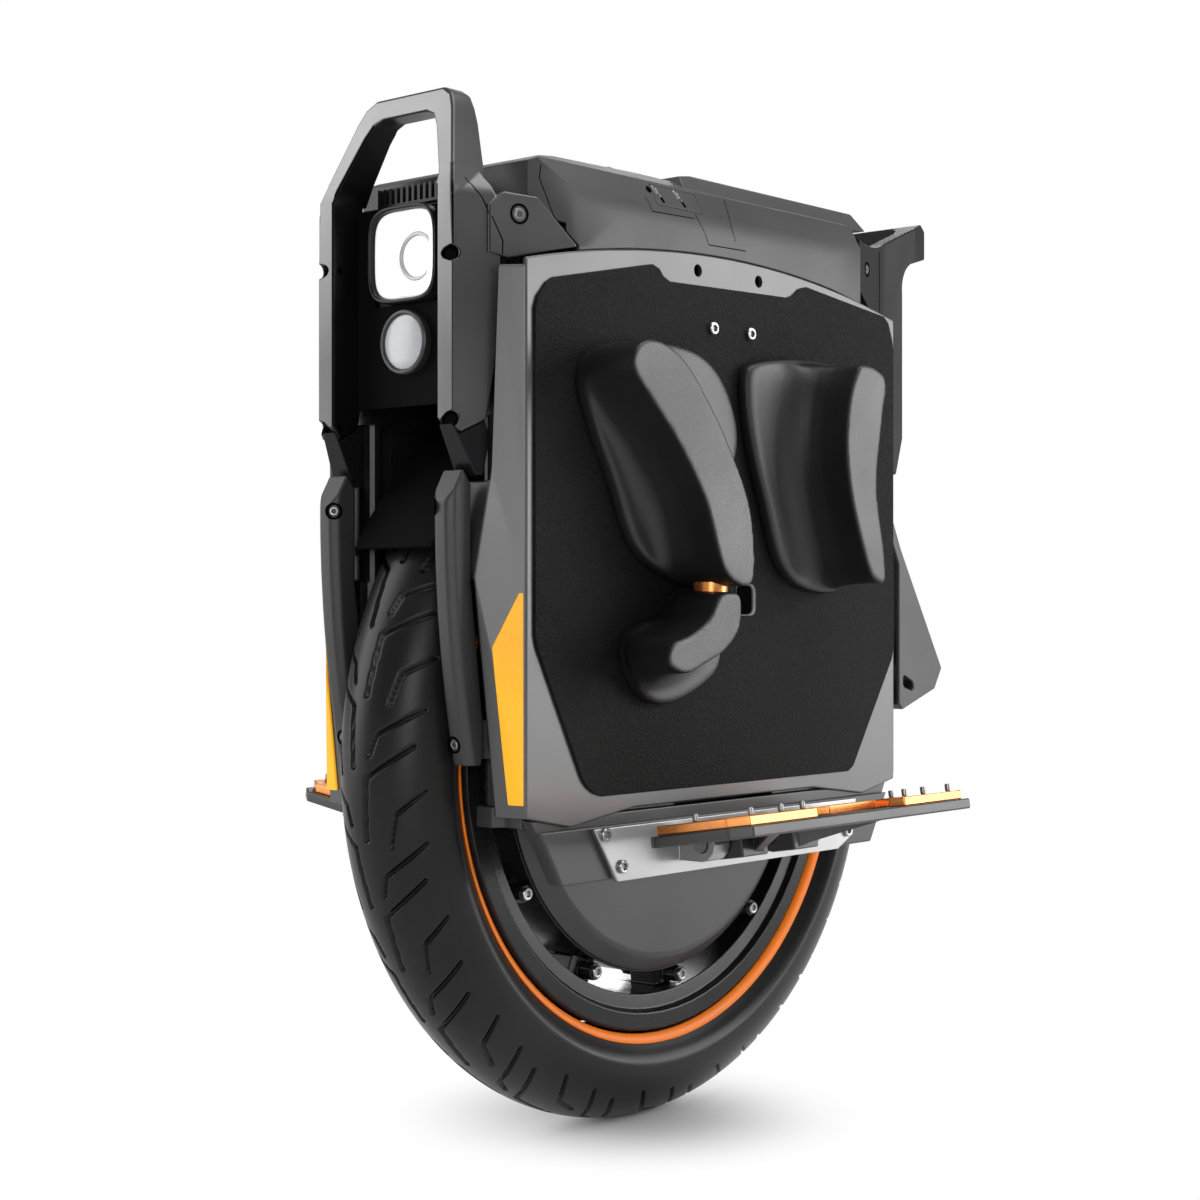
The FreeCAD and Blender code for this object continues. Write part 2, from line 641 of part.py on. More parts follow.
def guard_bar():
    """Faceted bar in front of the tyre's left side, bowed forwards, with a pointed top."""
    seat = SEAM_X + 18
    inner_y = TYRE_HALF + 2.5
    outer_y = inner_y + 17
    outline = [
        (seat, GUARD_TOP - 9), (seat + 7, GUARD_TOP), (seat + 18, GUARD_TOP - 19),
        (seat + 2, AXLE_Z + 2, seat + 15, AXLE_Z + 88), (seat - 9, AXLE_Z + 2), (tab_edge(), AXLE_Z + 29),
        (seat, AXLE_Z + 112)]
    body = prism_y(outline, inner_y, outer_y)
    front = [edge for edge in body.Edges
             if edge.BoundBox.YLength < 0.01 and edge.BoundBox.XMin > seat + 1 and edge.BoundBox.ZLength > 60]
    return body.makeChamfer(4, front)


def tab_edge():
    """Front face of the tab that the guard bar's lower end is bolted to."""
    return fold_line(AXLE_Z + 6).x


def hanger():
    """Left hanger: a black rail under the panel on uprights that reach the deck."""
    inner_y = PANEL_Y - HANGER_T + 1
    web = prism_y([
        (ROD_X, VEE_Z + 6), (ROD_X - 24, HANGER_Z + 1), (24 - ROD_X, HANGER_Z + 1), (-ROD_X, VEE_Z + 6)],
        inner_y, PANEL_IN)
    lip = prism_y([
        (ROD_X - 4, VEE_Z - 1), (ROD_X - 24, HANGER_Z + 1), (24 - ROD_X, HANGER_Z + 1), (4 - ROD_X, VEE_Z - 1)],
        PANEL_IN, HANGER_OUT)
    upright = block(52, 112, PANEL_IN - 4, PANEL_IN - 1, HANGER_Z + 10, DECK_Z)
    edge = ROD_R + 2
    foot = prism_z([
        (ROD_X - EYE_R, ROD_Y - edge), (ROD_X + edge, ROD_Y - edge), (ROD_X + edge, ROD_Y + edge - 2),
        (ROD_X + 2, ROD_Y + edge + 2), (ROD_X + 2, inner_y + 2), (ROD_X - EYE_R, inner_y + 2)],
        ROD_FOOT, ROD_FOOT + ROD_FOOT_T)
    foot = foot.cut(post(V(ROD_X, ROD_Y, ROD_FOOT), UP, ROD_R + FIT, ROD_FOOT_T, ROD_SIDES))
    return fused(web, lip, upright, mirrored_x(upright), foot, mirrored_x(foot))


def hanger_plate():
    """Bright plate on the hanger, with the two hinge lugs of the left pedal."""
    outer = HANGER_OUT + HANGER_PLATE_T
    plate = prism_y([
        (along(140), VEE_Z - 2), (along(118), HANGER_Z), (along(-118), HANGER_Z), (along(-136), HANGER_Z + 9),
        (along(-140), VEE_Z - 2)], HANGER_OUT, outer)
    lug = prism_x([
        (outer - 1, HINGE_Z - KNUCKLE_R), *knuckle_end(1), (outer - 1, HINGE_Z + KNUCKLE_R)],
        lug_start(), lug_start() + 16)
    body = fused(plate, lug, mirrored_x(lug))
    return body.cut(hinge_bore())


def knuckle_end(way):
    """Rounded end of a hinge lug or knuckle in (y, z), made of flats, facing out (+1) or in (-1)."""
    turns = [math.radians(-90 + 30 * i) for i in range(7)]
    return [(HINGE_Y + way * KNUCKLE_R * math.cos(a), HINGE_Z + KNUCKLE_R * math.sin(a)) for a in turns]


def lug_start():
    """Inner face of the hanger's front hinge lug."""
    return 42.0


def hinge_pin():
    end = lug_start() + 18
    return shaft(V(-end, HINGE_Y, HINGE_Z), V(end, HINGE_Y, HINGE_Z), HINGE_PIN_R, PIN_SIDES)


def hinge_bore():
    """Cutter for the hinge pin's hole through the lugs or the knuckles."""
    end = lug_start() + 20
    return bore(V(-end, HINGE_Y, HINGE_Z), V(end, HINGE_Y, HINGE_Z), HINGE_PIN_R + FIT, PIN_SIDES)


# Left pedal, drawn level and then tilted about its hinge

def tilted(shape):
    shape.rotate(V(0, HINGE_Y, HINGE_Z), V(1, 0, 0), PEDAL_TILT)
    return shape


def pedal():
    """Plate with two hinge knuckles and ribs that run from them to the outer corners."""
    low = HINGE_Z + PEDAL_LIFT
    top = low + PEDAL_T
    inner = HINGE_Y + KNUCKLE_R + 2
    outer = HINGE_Y + PEDAL_REACH
    plan = [(PEDAL_HALF - 6, inner), (PEDAL_HALF, inner + 8), (PEDAL_HALF, outer - 12), (PEDAL_HALF - 9, outer)]
    plate = prism_z(plan + [(-x, y) for x, y in plan[::-1]], low, top)
    start = 14.0
    end = lug_start() - 1
    knuckle = prism_x([
        *knuckle_end(-1)[::-1], (inner + 6, HINGE_Z - KNUCKLE_R), (inner + 6, top - 1)], start, end)
    rib = prism_x([(inner, low - 12), (outer - 10, low), (outer - 10, low + 1), (inner, low + 1)], start, start + 7)
    spread = math.degrees(math.atan2(PEDAL_HALF - 50, PEDAL_REACH))
    rib.rotate(V(start, inner, 0), UP, -spread)
    body = fused(plate, knuckle, mirrored_x(knuckle), rib, mirrored_x(rib))
    return tilted(body.cut(hinge_bore()))


def pedal_grip():
    """Two grip frames on the pedal plate, front and rear, with studs screwed into them."""
    low = HINGE_Z + PEDAL_LIFT + PEDAL_T
    inner = HINGE_Y + KNUCKLE_R + 6
    outer = HINGE_Y + PEDAL_REACH - 4
    ends = PEDAL_HALF - 16
    outline = [(ends + 8, inner), (ends + 12, outer - 12), (ends + 4, outer), (48, outer), (44, outer - 10),
               (ends - 16, outer - 12), (ends - 14, inner + 12), (44, inner + 12), (36, inner)]
    frame = prism_z(outline, low, low + GRIP_T)
    pieces = [tilted(frame), tilted(mirrored_x(prism_z(outline, low, low + GRIP_T)))]
    for x, y in ((56, outer - 5), (78, outer - 5), (ends - 4, outer - 5), (ends - 6, inner + 20)):
        for way in (1, -1):
            foot = V(way * x, y, low + GRIP_T)
            pieces.append(tilted(post(foot, UP, STUD_R, STUD_H)))
    return pieces


# Leg pads

def pad(base, crown, height):
    """Moulded pad whose flanks draw in from its base on the mat to a narrow crown."""
    middle = V(sum(x for x, z in crown) / len(crown), 0, sum(z for x, z in crown) / len(crown))
    sections = []
    for share, drawn, shrink in ((0, 0, 1), (0.12, 0.03, 1), (0.38, 0.56, 1), (0.9, 0.98, 1), (1, 1, 0.9)):
        section = []
        for (bx, bz), (cx, cz) in zip(base, crown):
            x = bx + drawn * (cx - bx)
            z = bz + drawn * (cz - bz)
            section.append(V(middle.x + shrink * (x - middle.x), MAT_Y + share * height,
                             middle.z + shrink * (z - middle.z)))
        sections.append(section)
    return faceted(sections)


def at_pads(points):
    """Outline points given about the height that the pads are set out from."""
    return [(x, PAD_Z + z) for x, z in points]


def front_pad():
    base = [(146, 252), (155, 236), (144, 204), (129, 177), (108, 136), (86, 120),
            (40, 111), (14, 172), (2, 208), (16, 241), (40, 258), (100, 262)]
    crown = [(151, 249), (156, 240), (132, 216), (113, 200), (86, 166), (62, 118),
             (38, 113), (40, 158), (62, 196), (86, 227), (110, 249), (132, 256)]
    return pad(at_pads(base), at_pads(crown), PAD_HEIGHT).cut(post_room())


def lower_pad():
    base = [(60, 103), (78, 89), (101, 85), (113, 77), (114, 64),
            (97, 41), (78, 36), (44, 45), (22, 60), (28, 102)]
    crown = [(68, 98), (82, 87), (99, 79), (117, 73), (121, 63),
             (106, 57), (88, 62), (66, 71), (53, 85), (54, 98)]
    return pad(at_pads(base), at_pads(crown), PAD_HEIGHT).cut(post_room())


def rear_pad():
    base = [(-26, 260), (-8, 253), (-6, 235), (-13, 200), (-26, 166), (-44, 125),
            (-66, 110), (-114, 109), (-124, 140), (-128, 185), (-126, 230), (-112, 260)]
    crown = [(-80, 259), (-73, 251), (-66, 236), (-62, 206), (-66, 176), (-80, 138),
             (-93, 116), (-107, 113), (-107, 132), (-98, 178), (-105, 226), (-108, 252)]
    return pad(at_pads(base), at_pads(crown), PAD_HEIGHT + 2)


def pad_post(radius, spare):
    """Bright post that joins the front pad to the lower pad."""
    foot = V(50, MAT_Y + 22, PAD_Z + 92 - spare)
    return post(foot, UP, radius, 30 + 2 * spare, 16)


def post_room():
    return pad_post(POST_R + SEAT, SEAT)


# Front hoop and lamps

def hoop_leg_plan(inset):
    """Plan of one hoop leg: flat front, flared outer face, open behind; drawn in by an inset."""
    return [(HOOP_X - inset, HOOP_IN), (HOOP_X - inset, HOOP_HALF - inset),
            (SEAM_X + 3, PANEL_Y - 17 - inset), (SEAM_X + 3, PANEL_Y - 22), (FRONT_PANEL_X - 1, HOOP_IN)]


def front_hoop():
    """Grab hoop: two legs, an arch that leans back, and an ear over each front shoulder of the body."""
    top = DECK_Z + HOOP_RISE
    elbow = DECK_Z + 22
    foot = HOOP_FOOT
    plan = hoop_leg_plan(0)
    neck = [(x, min(y, HOOP_HALF + 1)) for x, y in plan]
    neck[3] = (SEAM_X + 3, HOOP_HALF - 6)
    leg = faceted([[V(x, y, z) for x, y in outline]
                   for outline, z in ((plan, foot), (plan, DECK_Z + 14), (neck, elbow + 12))])
    leg_side = prism_y([
        (HOOP_X + 1, foot + 10), (HOOP_X - 6, foot), (SEAM_X + 12, foot + 8), (SEAM_X + 7, DECK_Z - 90),
        (SEAM_X, DECK_Z - 15), (SEAM_X + 8, elbow + 12), (HOOP_X + 1, elbow + 12)], 0, PANEL_Y)
    leg = leg.common(leg_side)
    arch_outer = [(HOOP_HALF, elbow), (HOOP_HALF - 5, elbow + 16), (42, top - 13), (38, top - 5), (30, top), (0, top)]
    arch_inner = [(0, top - 14), (19, top - 14), (26, top - 17), (31, top - 25), (HOOP_IN - 3, elbow + 10), (HOOP_IN, elbow)]
    arch = prism_x(arch_outer + arch_inner, SEAM_X - 20, HOOP_X)
    lean = prism_y([
        (HOOP_X, elbow), (HOOP_X - 22, top), (SEAM_X - 4, top), (SEAM_X - 3, top - 20), (SEAM_X + 5, elbow)],
        -1, HOOP_HALF + 1)
    arch = arch.common(lean)
    strap_plan = [(SEAM_X + 12, PANEL_Y - 23), (SEAM_X + 12, PANEL_Y - 18.5), (SEAM_X - 4, PANEL_Y - 14),
                  (SEAM_X - 50, PANEL_Y + 1), (SEAM_X - 50, PANEL_Y - 4)]
    ear_side = prism_y([
        (SEAM_X + 12, DECK_Z + 10), (SEAM_X + 2, DECK_Z + 19), (SEAM_X - 20, DECK_Z + 18), (SEAM_X - 47, DECK_Z - 10),
        (SEAM_X - 14, DECK_Z - 18), (SEAM_X - 1, DECK_Z - 21), (SEAM_X + 12, DECK_Z - 18)], 0, PANEL_Y + 2)
    ear = prism_z(strap_plan, DECK_Z - 30, elbow + 20).common(ear_side)
    holes = []
    inwards = V(-1, -1, 0)
    for z in (DECK_Z - 20, DECK_Z - 118):
        start = V(HOOP_X + 4, HOOP_HALF + 3, z)
        holes.append(post(start, inwards, 5, 15, 8))
    half = fused(leg, arch, ear).cut(holes)
    return fused(half, mirrored(half))


def hoop_foot_cap():
    """Black faceted tip under a hoop leg."""
    foot = HOOP_FOOT
    side = prism_y([
        (HOOP_X - 1.5, foot + 5.5), (HOOP_X - 6, foot - 0.5), (SEAM_X + 12, foot + 7.5), (SEAM_X + 9, foot - 2),
        (SEAM_X + 13, foot - 25), (SEAM_X + 18, foot - 25)], 0, PANEL_Y)
    return prism_z(hoop_leg_plan(1.5), foot - 26, foot + 12).common(side)


def front_panel():
    """Black panel between the hoop legs, with a window for the headlight."""
    edge = HOOP_IN - SEAT
    plate = block(FRONT_PANEL_X, FRONT_PANEL_X + FRONT_PANEL_T, -edge, edge, FRONT_PANEL_FOOT, DECK_Z + 18)
    reach = LAMP_HALF + 2 + SEAT
    window = block(FRONT_PANEL_X - 1, FRONT_PANEL_X + FRONT_PANEL_T + 1, -reach, reach,
                   LAMP_Z - reach, LAMP_Z + reach)
    return plate.cut(window)


def lamp_square(half):
    corners = [(half, LAMP_Z - half), (half, LAMP_Z + half), (-half, LAMP_Z + half), (-half, LAMP_Z - half)]
    return bevelled(bevelled(corners, 0.42 * half), 0.14 * half)


def headlight_housing():
    """Rounded housing with a deep bezel round the lens."""
    front = FRONT_PANEL_X + FRONT_PANEL_T + 7
    body = prism_x(lamp_square(LAMP_HALF + 2), FRONT_PANEL_X - 22, front)
    return body.cut(prism_x(lamp_square(LAMP_HALF - 1), front - 18, front + 1))


def headlight_lens():
    front = FRONT_PANEL_X + FRONT_PANEL_T + 4
    return prism_x(lamp_square(LAMP_HALF - 1 - SEAT), front - LENS_T, front)


def headlight_projector():
    foot = V(FRONT_PANEL_X + FRONT_PANEL_T - 11, 0, LAMP_Z)
    return post(foot, V(1, 0, 0), PROJECTOR_R, 9, 24)


def heat_sink():
    """Row of cooling fins on top of the headlight."""
    half = LAMP_HALF + 6
    low = LAMP_Z + LAMP_HALF + 2 + SEAT
    base = block(FRONT_PANEL_X - 22, FRONT_PANEL_X - 2, -half, half, low, low + 4)
    pitch = (2 * half - FIN_T) / (FINS - 1)
    fins = []
    for i in range(FINS):
        y = -half + i * pitch
        fins.append(block(FRONT_PANEL_X - 22, FRONT_PANEL_X - 2, y, y + FIN_T, low + 3, low + 14))
    return fused(base, *fins)


def marker_lamp():
    """Plain round marker lamp under the headlight."""
    foot = V(FRONT_PANEL_X + FRONT_PANEL_T, 0, LAMP_Z - LAMP_HALF - MARKER_R - 6)
    return post(foot, V(1, 0, 0), MARKER_R, 6, 24)


# Top cover

def cover_solid(inset):
    """Faceted form of the top cover, drawn in by an inset on every outer face."""
    top = COVER_TOP - inset
    half = PANEL_Y - inset
    front = SEAM_X - 16 - inset
    rear = COVER_REAR + inset
    low = DECK_Z - 30
    side = prism_y([
        (front, low), (front, top - 11), (front - 12, top - 6), (front - 30, top - 3), (60, top),
        (rear, top - 6), (rear, low)], -half, half)
    across = [(half, low), (half, top - 37), (half - 3, top - 25), (half - 12, top - 8), (half - 27, top)]
    section = prism_x(across + [(-y, z) for y, z in across[::-1]], rear, front)
    plan = [(front, half - 14), (front - 32, half - 1), (front - 70, half), (rear + 40, half), (rear, half - 3)]
    return side.common(section).common(prism_z(plan + [(x, -y) for x, y in plan[::-1]], low, top + 1))


def below_cover():
    """Everything under the arched edge where the top cover meets the side panels."""
    end_z = panel_top(SEAM_X) + SEAT
    return prism_y([
        (SEAM_X, DECK_Z - 90), (SEAM_X, end_z), (-SEAM_X, end_z, 0, DECK_Z + SEAT), (-SEAM_X, DECK_Z - 90)],
        -PANEL_Y - 1, PANEL_Y + 1)


def lid_form(spare):
    """Form of the raised lid at the back of the top cover, grown by a gap."""
    low = COVER_TOP - 9 - spare
    top = COVER_TOP + 6 + spare
    half = PANEL_Y - 13 + spare
    side = prism_y([
        (30 + spare, low), (24 + spare, top - 3), (8, top), (COVER_REAR - 18, top - 1), (COVER_REAR - 20, low)],
        -half, half)
    across = [(half, low), (half - 11, top - 2), (half - 14, top)]
    return side.common(prism_x(across + [(-y, z) for y, z in across[::-1]], COVER_REAR - 30, 60))


def door_frame(u, out):
    """Point on the left shoulder facet: u up the facet from its lower edge, out along its normal."""
    along = V(0, -9, 17).normalize()
    normal = V(0, 17, 9).normalize()
    foot = V(0, PANEL_Y - 3, COVER_TOP - 25)
    return foot + along * u + normal * out


def shoulder_plate(length, u0, u1, depth, lift):
    """Plate in the plane of the shoulder facet."""
    corners = [door_frame(u0, lift - depth), door_frame(u1, lift - depth), door_frame(u1, lift), door_frame(u0, lift)]
    return prism_x([(p.y, p.z) for p in corners], DOOR_X - length / 2, DOOR_X + length / 2)


def door_room():
    """Recess for the charge port door."""
    return shoulder_plate(DOOR_LENGTH + 2 * SLIDE, 1.0, 17.0 + SLIDE, DOOR_T + SLIDE + 1, 1)


def charge_door():
    return shoulder_plate(DOOR_LENGTH, 1.0 + SLIDE, 17.0, DOOR_T, 0)


def top_cover():
    """Hollow cover between the hoops, open below, with room for the lid, the button and the charge door."""
    shell = cover_solid(0).cut(cover_solid(COVER_SHELL))
    pocket = shoulder_plate(DOOR_LENGTH + 8, -1.0, 20.0, DOOR_T + 3, -0.5).common(cover_solid(0))
    shell = fused(shell, pocket).cut(below_cover())
    inner_y = PANEL_IN - 1.5
    shell = shell.cut(block(-SEAM_X, SEAM_X, -inner_y, inner_y, 0, DECK_TOP + SEAT))
    shell = shell.cut(lid_form(SEAT))
    shell = shell.cut(ear_room())
    bore = post(V(BUTTON_X, 0, COVER_TOP - 20), UP, BUTTON_R + SLIDE, 25, 20)
    hump = hump_form()
    return fused(shell, hump).cut([bore, door_room()])


def ear_room():
    """Space that the hoop's ears and legs take at the front corners of the cover."""
    plan = [(SEAM_X + 20, PANEL_Y - 19.5), (SEAM_X - 4, PANEL_Y - 19), (SEAM_X - 51, PANEL_Y - 4.4),
            (SEAM_X - 51, PANEL_Y + 5), (SEAM_X + 20, PANEL_Y + 5)]
    side = prism_y([
        (SEAM_X + 20, DECK_Z + 19), (SEAM_X - 20, DECK_Z + 18.6), (SEAM_X - 48, DECK_Z - 10), (SEAM_X - 48, DECK_Z - 40),
        (SEAM_X + 20, DECK_Z - 40)], 0, PANEL_Y + 6)
    room = prism_z(plan, DECK_Z - 40, DECK_Z + 37).common(side)
    return fused(room, mirrored(room))


def hump_form():
    """Low hump on the cover, just ahead of the lid."""
    side = prism_y([
        (82, COVER_TOP - 2), (64, COVER_TOP + 8), (48, COVER_TOP + 11), (32, COVER_TOP + 8), (31, COVER_TOP - 2)],
        -34, 34)
    return side.common(prism_x([
        (34, COVER_TOP - 2), (24, COVER_TOP + 12), (-24, COVER_TOP + 12), (-34, COVER_TOP - 2)], 0, 100))


def top_lid():
    return lid_form(0).cut(lid_form(-COVER_SHELL).common(block(-300, 300, -200, 200, 0, COVER_TOP + 6 - COVER_SHELL)))


def power_button():
    top = COVER_TOP + 1.2
    foot = V(BUTTON_X, 0, top - 6)
    return post(foot, UP, BUTTON_R, 6, 20)


# Rear

def rear_hoop():
    """Rear handle: legs beside the rear panel, shoulders behind the top cover and a loop for the hand."""
    seam = -SEAM_X
    tip = seam - HANDLE_REACH
    back = seam - 53
    profile = prism_y([
        (COVER_REAR - SEAT, DECK_Z - 3), (COVER_REAR - SEAT, DECK_Z + 34),
        (seam - 32, DECK_Z + 42, seam + 2, DECK_Z + 33), (tip + 22, DECK_Z + 64, seam - 62, DECK_Z + 54),
        (tip + 12, DECK_Z + 61), (tip, DECK_Z + 47), (tip + 8, DECK_Z + 39), (seam - 66, DECK_Z + 30),
        (back, DECK_Z + 6, seam - 56, DECK_Z + 21), (back, DECK_Z - 104),
        (seam - 44, DECK_Z - 131), (seam - 27, DECK_Z - 131), (seam - 27, DECK_Z - 22), (seam - 2, DECK_Z - 22)],
        -PANEL_Y, PANEL_Y)
    plan = [(COVER_REAR - SEAT, PANEL_Y - 4), (seam, PANEL_Y - 16), (seam - 27, HOOP_HALF + 2), (seam - 70, HOOP_HALF),
            (tip + 12, 48), (tip, 40)]
    outer = prism_z(plan + [(x, -y) for x, y in plan[::-1]], 0, 2 * DECK_Z)
    body = profile.common(outer)
    grip = [(seam - 12, HOOP_IN), (seam - 60, HOOP_IN), (tip + 36, 38), (tip + 26, 28)]
    slot = prism_z(grip + [(x, -y) for x, y in grip[::-1]], 0, 2 * DECK_Z)
    inside = block(seam - 13, COVER_REAR + 5, -PANEL_Y + 20, PANEL_Y - 20, 0, DECK_Z + 32)
    return body.cut([slot, inside, lid_form(SEAT)])


def rear_panel():
    edge = HOOP_IN - SEAT
    return block(REAR_PANEL_X - FRONT_PANEL_T, REAR_PANEL_X, -edge, edge, DECK_Z - 131, DECK_Z - 14)


def tail_light():
    corners = [(34, DECK_Z - 66), (34, DECK_Z - 46), (-34, DECK_Z - 46), (-34, DECK_Z - 66)]
    back = REAR_PANEL_X - FRONT_PANEL_T
    return prism_x(bevelled(corners, 6), back - 5, back)


def rear_fender():
    """Hollow fender behind the tyre, open towards it, with a slot in each side."""
    inner = -max(TYRE_R + 8, 36 - REAR_PANEL_X)
    half = TYRE_HALF + 10
    head = DECK_Z - 131
    outline = [
        (REAR_PANEL_X, head), (REAR_PANEL_X - 12, head), (inner - 3, AXLE_Z + 141), (inner - 61, AXLE_Z + 48),
        (inner - 51, AXLE_Z + 32), (inner - 5, AXLE_Z + 17), (inner, AXLE_Z + 22), (inner, AXLE_Z + 128)]
    hollow = [
        (REAR_PANEL_X + 9, head - 4), (REAR_PANEL_X - 8, head - 4), (inner, AXLE_Z + 138),
        (inner - 55, AXLE_Z + 49), (inner - 48, AXLE_Z + 37), (inner - 3, AXLE_Z + 22), (inner + 9, AXLE_Z + 22)]
    shell = prism_y(outline, -half, half).cut(prism_y(hollow, 3 - half, half - 3))
    slot = prism_y(bevelled([
        (inner - 6, AXLE_Z + 44), (inner - 20, AXLE_Z + 38), (inner - 20, AXLE_Z + 31), (inner - 6, AXLE_Z + 35)], 2),
        -half - 1, half + 1)
    return shell.cut(slot)


# Fasteners of the body

def body_bolts():
    heads = []
    side = HANGER_OUT + HANGER_PLATE_T
    for x, z in ((130, VEE_Z - 6), (114, HANGER_Z + 9), (-128, HANGER_Z + 12)):
        heads += both(post(V(along(x), side, z), AXLE_LINE, BOLT_R, BOLT_HEAD))
    for x in (20, -20):
        heads += both(post(V(x, MAT_Y, DECK_Z - 48), AXLE_LINE, BOLT_R, BOLT_HEAD))
    return heads


def build():
    save("tyre", tyre())
    save("rim", rim())
    save("motor_shell", motor_shell())
    save("motor_covers", *both(motor_cover()))
    save("magnet_ring", magnet_ring())
    save("valve_stem", valve_stem())
    save("wheel_bolts", *wheel_bolts())
    save("axle", axle())
    save("stator", stator())
    save("axle_carriers", *both(axle_carrier()))
    save("mudguard", mudguard())
    save("shock_rods", *both(shock_rod()))
    save("guide_rods", *four_corners(guide_rod()))
    save("bump_stops", *four_corners(bump_stop()))
    save("shock_bodies", *both(shock_body()))
    save("shock_springs", *both(shock_spring()))
    save("inner_frame", inner_frame())
    save("battery_packs", *four_corners(battery_pack()))
    save("controller_board", controller_board())
    save("grip_mats", *both(grip_mat()))
    save("side_reflectors", *both(side_reflector()))
    save("guard_bars", *both(guard_bar()))
    save("hanger_plates", *both(hanger_plate()))
    save("pedal_hinge_pins", *both(hinge_pin()))
    save("pad_posts", *both(pad_post(POST_R, 0)))
    for name, make in (("side_panel", side_panel), ("hanger", hanger), ("pedal", pedal),
                       ("front_pad", front_pad), ("lower_pad", lower_pad), ("rear_pad", rear_pad)):
        left = make()
        save("left_" + name, left)
        save("right_" + name, mirrored(left))
    grip = pedal_grip()
    save("left_pedal_grip", *grip)
    save("right_pedal_grip", *[mirrored(piece) for piece in grip])
    save("front_hoop", front_hoop())
    save("hoop_foot_caps", *both(hoop_foot_cap()))
    save("front_panel", front_panel())
    save("headlight_housing", headlight_housing())
    save("headlight_lens", headlight_lens())
    save("headlight_projector", headlight_projector())
    save("heat_sink", heat_sink())
    save("marker_lamp", marker_lamp())
    save("top_cover", top_cover())
    save("top_lid", top_lid())
    save("power_button", power_button())
    save("charge_door", charge_door())
    save("rear_hoop", rear_hoop())
    save("rear_panel", rear_panel())
    save("tail_light", tail_light())
    save("rear_fender", rear_fender())
    save("body_bolts", *body_bolts())


os.makedirs("parts", exist_ok=True)
build()
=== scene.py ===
"""Looks of the electric unicycle: rounded edges, tyre tread, leg pads, finishes, light and camera."""

import json
import math

import bmesh
import bpy
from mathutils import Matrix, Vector
from mathutils.bvhtree import BVHTree

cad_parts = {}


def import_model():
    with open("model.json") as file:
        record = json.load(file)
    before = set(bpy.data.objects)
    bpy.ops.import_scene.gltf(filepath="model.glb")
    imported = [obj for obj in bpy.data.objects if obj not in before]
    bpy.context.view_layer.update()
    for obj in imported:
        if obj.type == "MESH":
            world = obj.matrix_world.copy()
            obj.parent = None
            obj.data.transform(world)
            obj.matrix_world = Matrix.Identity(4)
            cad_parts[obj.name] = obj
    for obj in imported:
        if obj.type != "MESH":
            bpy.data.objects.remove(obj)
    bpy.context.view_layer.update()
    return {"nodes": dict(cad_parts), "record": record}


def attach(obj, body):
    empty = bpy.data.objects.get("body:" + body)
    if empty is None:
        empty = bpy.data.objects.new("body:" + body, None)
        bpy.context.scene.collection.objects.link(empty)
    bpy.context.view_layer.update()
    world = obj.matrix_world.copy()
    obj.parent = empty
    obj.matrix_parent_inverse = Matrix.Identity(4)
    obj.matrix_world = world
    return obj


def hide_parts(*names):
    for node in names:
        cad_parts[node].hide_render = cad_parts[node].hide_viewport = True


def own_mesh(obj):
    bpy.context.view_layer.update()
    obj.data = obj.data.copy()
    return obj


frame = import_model()

MM = 0.001
SLOT_OF = {part["node"]: part["material_slot"] for part in frame["record"]["subparts"]}
BODY_OF = {node: body for body, nodes in frame["record"]["behaviour"]["bodies"].items() for node in nodes}

# Sizes shared with the CAD, in millimetres
TYRE_R = 250.0
TYRE_HALF = 40.0
FLANGE_R = 190.0
FLANGE_TIP = 27.0
AXLE_Z = 250.0
MAT_Y = 89.0
PAD_Z = 250.0
PAD_HEIGHT = 49.0
REAR_PAD_HEIGHT = 51.0
POST_R = 11.0
POST_HALF = 15.0
POST_PLACE = (50.0, 111.0, 357.0)
HOOP_X = 229.0
HOOP_HALF = 59.0
HOOP_ELBOW = 598.0
HOOP_TOP = 662.0
HOOP_HOLE = (223.0, 52.0)
HOOP_HOLES_Z = (556.0, 458.0)
LAMP_X = 204.0
LAMP_Z = 563.0
LAMP_HALF = 28.0
PROJECTOR_R = 15.0
MARKER_R = 20.0
MARKER_Z = 509.0
SHOCK_Y = 65.5
SPRING_FOOT = 296.0
SPRING_TOP = 506.0
BOLT_R = 4.2
BOLT_HEAD = 2.5

# Making of forms, in millimetres where it is a length
FOLD = math.radians(28)    # least fold that is rounded
ROUND_SHARE = 0.42         # share of the room beside an edge that its rounding may take
ROUND_STEPS = 3            # faces across a rounded edge
FINE_STEPS = 64            # faces round the larger turned forms
CLOSED = 0.02              # radius, or share of a loop, at which a form counts as closed
LAMP_SQUARE = 4.2          # the greater, the squarer the corners
MAT_SLOT_SQUARE = 5
HEAD_CHAMFER = 0.6
CUP_DEPTH = 1.2
SUNK_HEAD = 1.5
STRIP_STEP = 1.5
STRIP_ROOT = 0.6

# Tread, in millimetres
TREAD_PITCHES = 18
TREAD_REACH = 52.0         # edge of the tread, along the surface from the crown's middle
GROOVE_DEPTH = 3.0
GROOVE_LIP = 1.75          # from a groove's middle line to its upper edge
GROOVE_WALL = 0.75         # breadth of its sloping wall
TYRE_STEPS = 1800
ACROSS_STEPS = 170

# Light
ROOM_LIGHT = 0.14
GLOSS_ROOM = 0.27

# Grain of the finishes
NOISE_SPAN = (0.3, 0.7)    # where most values of a noise lie
MOTTLE_SCALE = 14.0
MOTTLE_GLOSS = 0.04
GRAIN_GLOSS = 0.03
GRAIN_HEIGHT = 0.6 * MM
COAT_ROUGH = 0.12


# Finishes

def new_material(name):
    """Material made of nodes, with its nodes and links."""
    material = bpy.data.materials.new(name)
    material.use_nodes = True
    return material, material.node_tree.nodes, material.node_tree.links


